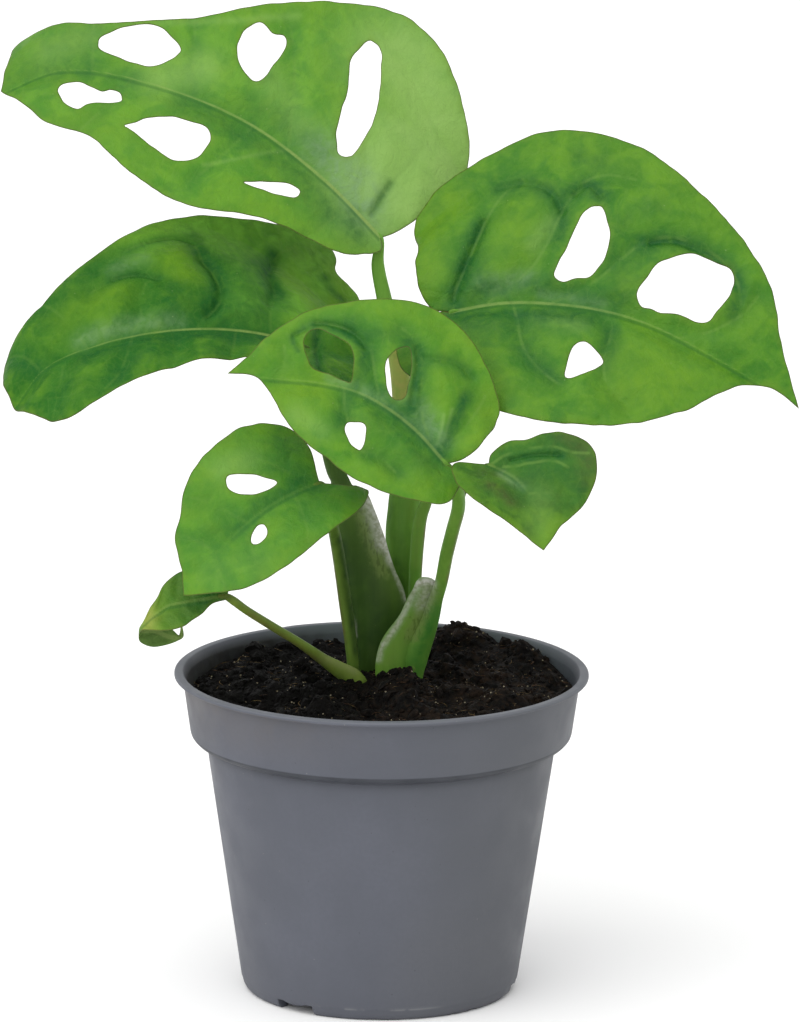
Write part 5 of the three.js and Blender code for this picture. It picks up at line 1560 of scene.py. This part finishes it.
def leaf_finish(name, tones, vein_pale, rib_pale, rib_end, gloss):
    """Waxy green leaf: mottled, with painted shade in its folds and partly along its veins, yellower between
    the veins, with a fine net and some painted sheen and highlights.
    """
    g = Finish(name)
    vein, along, margin, low = (g.mark(label) for label in ("vein", "along", "margin", "lower"))
    g.colour = g.blend(g.cloud(10, 3, 0.36, 0.62, warp=1), *tones)
    g.coat(g.both(g.between(vein, 2, 7), g.cloud(7, 2, 0.4, 0.62, warp=0.6)), 0.45, (112, 164, 38))
    # lit: painted light that brightens a part the leaf above shades.
    g.coat(g.soft("lit"), 0.9, (130, 198, 70))
    # Darker along the sunken veins: partly the leaf's own colour, partly painted shade.
    g.coat(g.both(g.near(vein, 0.5, 4.5), g.cloud(5, 3, 0.34, 0.64, warp=1)), 0.42, (52, 120, 46))
    g.coat(g.cloud(3.6, 4, 0.4, 0.66, warp=0.8), 0.22, (66, 130, 42))
    g.coat(g.cloud(1.3, 4, 0.4, 0.7), 0.12, (116, 164, 60))
    g.coat(g.soft("warm"), 0.62, (120, 166, 36))
    # pale: partly the leaf's own paler green, partly painted highlight on ridges.
    g.coat(g.soft("pale", 9, 0.85, 1.05), 0.85, (156, 198, 104))
    # sheen: painted sheen.
    g.coat(g.soft("sheen", 3, 0.5, 1.15), 0.75, (134, 172, 118))
    # deep: painted shade in folds and hollows.
    g.coat(g.soft("deep", 3.5, 0.65, 1.1), 0.85, (32, 98, 42))
    g.coat(g.soft("brown", 3), 0.6, (92, 96, 52))
    g.coat(g.soft("straw", 6, 0.8, 1.1), 0.8, (178, 188, 88))
    net = g.near(g.cells(1.6), 0, 0.09)
    g.coat(net, 0.05, (132, 172, 86))
    g.coat(g.both(g.near(g.cells(5), 0, 0.035), g.cloud(5, 2, 0.45, 0.6)), 0.12, (124, 166, 78))
    side_vein = g.both(g.near(vein, 0.1, 0.75), g.cloud(7, 2, 0.36, 0.58))
    g.coat(side_vein, 0.62 * vein_pale, (126, 168, 76))
    # Painted shade in a band beside the midrib, on its lower side.
    rib_shade_band = g.near(g.sum("ABSOLUTE", g.sum("SUBTRACT", low, 1), 0), 0.1, 0.95)
    still = g.near(along, 0.6 * rib_end, rib_end)
    g.coat(g.both(rib_shade_band, still), 0.42, (44, 104, 42))
    rib_width = g.between(along, 0, 0.9, 0.72, 0.27)
    rib = g.both(g.near(g.sum("DIVIDE", g.mark("midrib"), rib_width), 0.3, 1.1), still)
    fading = g.both(g.between(along, 0.1, 1, 1, 0.3), g.between(g.noise(4, 3), 0.3, 0.6, 0.6, 1))
    g.coat(g.both(rib, fading), rib_pale, (146, 176, 92))
    g.coat(g.near(margin, 0.1, 0.38), 0.7, (92, 88, 48))
    g.coat(g.both(g.near(margin, 0.4, 2.4), g.cloud(4, 3, 0.4, 0.62)), 0.25, (116, 150, 50))
    under = g.blend(g.cloud(6, 3, 0.35, 0.65), (92, 126, 56), (108, 142, 66))
    under = g.blend(g.between(g.mark("midrib"), 0.35, 0.95, 0.7, 0), under, (134, 160, 86))
    under = g.blend(g.both(side_vein, 0.5), under, (130, 156, 84))
    g.coat(g.mark("underside"), 1, under)
    g.coat(g.dots(6.5, 0.02, 0.04), 0.4, (150, 176, 112))
    rough = g.sum("ADD", g.rough(5, 3, 0.42, 0.56), g.both(g.mark("underside"), 0.2))
    grain = g.relief(g.noise(0.9, 3), 0.05, g.relief(net, 0.03))
    return g.finish(rough, g.relief(g.noise(4.5, 3, warp=0.5), 0.75, grain), gloss)


LEAF_TONES = {
    "upper_left": ((107, 166, 46), (85, 149, 41)),
    "left": ((71, 129, 37), (48, 111, 32)),
    "middle": ((101, 160, 42), (76, 142, 36)),
    "upper_right": ((91, 150, 37), (66, 131, 33)),
    "small_right": ((78, 130, 38), (58, 106, 30)),
    "lower_left": ((97, 158, 46), (80, 144, 42)),
    "curled": ((94, 138, 46), (76, 120, 38)),
}


# Stalks

STALK_SIDES = 40
RINGS_PER_SECTION = 8


def swept(sections, groove=0):
    """A closed tube along its sections, as points and faces."""
    sections = np.array(sections, float)
    rings = RINGS_PER_SECTION * (len(sections) - 1)
    shares = np.linspace(0, 1, rings + 1)
    path = through(sections[:, :3], shares)
    knots = np.linspace(0, 1, len(sections))
    soften = np.array([0.1, 0.2, 0.4, 0.2, 0.1])
    half_width, half_depth = (
        np.convolve(np.pad(np.interp(shares, knots, sizes), 2, mode="edge"), soften, mode="valid")[:, None]
        for sizes in sections[:, 3:].T
    )
    heading = np.gradient(path, axis=0)
    heading /= np.linalg.norm(heading, axis=1)[:, None]
    across = np.array([1, 0, 0]) - heading * heading[:, :1]
    across /= np.linalg.norm(across, axis=1)[:, None]
    deep = np.cross(heading, across)
    angle = 2 * np.pi * np.arange(STALK_SIDES) / STALK_SIDES
    flat = np.clip(half_width / half_depth - 1.2, 0, 1)
    channel = groove * hump(angle - 1.5 * np.pi, 0.5) * fade(shares, 0.1, 0.3)[:, None]
    wide = half_width * np.cos(angle)
    thick = half_depth * np.sin(angle) * np.abs(np.sin(angle)) ** (0.9 * flat) + channel
    points = path[:, None] + wide[..., None] * across[:, None] + thick[..., None] * deep[:, None]
    points = np.vstack([points.reshape(-1, 3), path[0] - 0.6 * heading[0], path[-1] + 0.4 * heading[-1]])
    head = len(points) - 1
    faces = fan(head - 1, 0, STALK_SIDES, flip=True) + bands(0, rings, STALK_SIDES)
    return points, faces + fan(head, rings * STALK_SIDES, STALK_SIDES)


def make_stalk(name, stalk):
    """A stalk with its painted streaks and, on one of them, the wing of its sheath beside it."""
    sections = list(stalk["sections"])
    if name in BLADES:
        for x, size in ((0.5, 1.0), (3.0, 0.6)):
            sections.append((*underside_at(BLADES[name], x), size, 0.8 * size))
    points, faces = swept(sections, stalk.get("groove", 0))
    if "wing" in stalk:
        wing_points, wing_faces = swept(stalk["wing"])
        faces += [tuple(len(points) + i for i in face) for face in wing_faces]
        points = np.vstack([points, wing_points])
    marks = painted(points[:, [0, 2]], stalk["marks"], STALK_MARKS)
    return mesh_object(f"stalk_{name}", points, faces, marks)


def stalk_finish(name, green, dark):
    """Smooth stalk with faint lengthwise streaks, painted highlights and painted shade along its sides, and
    papery wings with brown flecks on its sheath.
    """
    g = Finish(name)
    g.colour = g.blend(g.both(g.cloud(1.6, 3, 0.35, 0.65, stretch=(1, 1, 0.08)), 0.45), green, dark)
    g.coat(g.cloud(9, 3, 0.4, 0.7), 0.4, dark)
    # light: painted highlight along the lit side.
    g.coat(g.soft("light"), 0.7, (128, 160, 70))
    g.coat(g.soft("straw"), 0.95, (176, 180, 96))
    # deep: painted shade in creases and on the shaded side.
    g.coat(g.soft("deep"), 0.8, (35, 64, 32))
    g.coat(g.soft("red", 3, 0.4, 1.2), 0.75, (126, 98, 72))
    g.coat(g.soft("blush"), 0.55, (152, 162, 104))
    g.coat(g.soft("teal"), 0.8, (44, 116, 46))
    flecks = g.cloud(0.9, 5, 0.5, 0.62, stretch=(1, 1, 0.35), warp=0.4)
    papery = g.blend(g.both(flecks, 0.6), (128, 152, 80), (72, 84, 38))
    fleck = g.mark("fleck")
    mottled = g.sum("ADD", fleck, g.both(g.sum("SUBTRACT", g.noise(2, 5, warp=0.9), 0.5), 1.1))
    g.coat(g.both(g.between(fleck, 0.03, 0.3), g.between(mottled, 0.1, 1)), 0.7, papery)
    skin = g.blend(g.cloud(1.2, 4, 0.4, 0.65), (232, 232, 222), (186, 190, 168))
    g.coat(g.soft("membrane", 5, 0.85, 1.1), 0.95, skin)
    g.coat(g.dots(2.6, 0.03, 0.06), 0.3, (140, 152, 100))
    lines = g.relief(g.noise(0.7, 2, stretch=(1, 1, 0.08)), 0.05)
    return g.finish(g.rough(3, 3, 0.38, 0.54), g.relief(g.noise(2.4), 0.12, lines), 0.12)


STALK_TONES = {
    "upper_left": ((130, 186, 72), (104, 158, 60)),
    "left": ((79, 113, 42), (62, 94, 34)),
    "middle": ((118, 168, 64), (98, 148, 54)),
    "upper_right": ((111, 166, 58), (94, 144, 50)),
    "small_right": ((100, 140, 56), (84, 122, 50)),
    "lower_left": ((104, 138, 52), (84, 112, 44)),
    "curled": ((126, 148, 58), (104, 128, 50)),
}

set_camera()
set_stage()
make_pot()
soil_litter(make_soil())

for name, stalk in STALKS.items():
    piece = make_stalk(name, stalk)
    dress(piece, stalk_finish(f"stalk_{name}", *STALK_TONES[name]), "petiole", f"petiole_{name}")

for name, blade in BLADES.items():
    piece = make_blade(name, blade)
    looks = [blade[key] for key in ("vein_pale", "rib_pale", "rib_end", "gloss")]
    dress(piece, leaf_finish(f"leaf_{name}", LEAF_TONES[name], *looks), "blade", f"blade_{name}")

curled_finish = leaf_finish(
    "leaf_curled", LEAF_TONES["curled"], vein_pale=0.04, rib_pale=0.35, rib_end=1.4, gloss=0.14
)
dress(make_curled_blade(), curled_finish, "blade", "blade_curled")
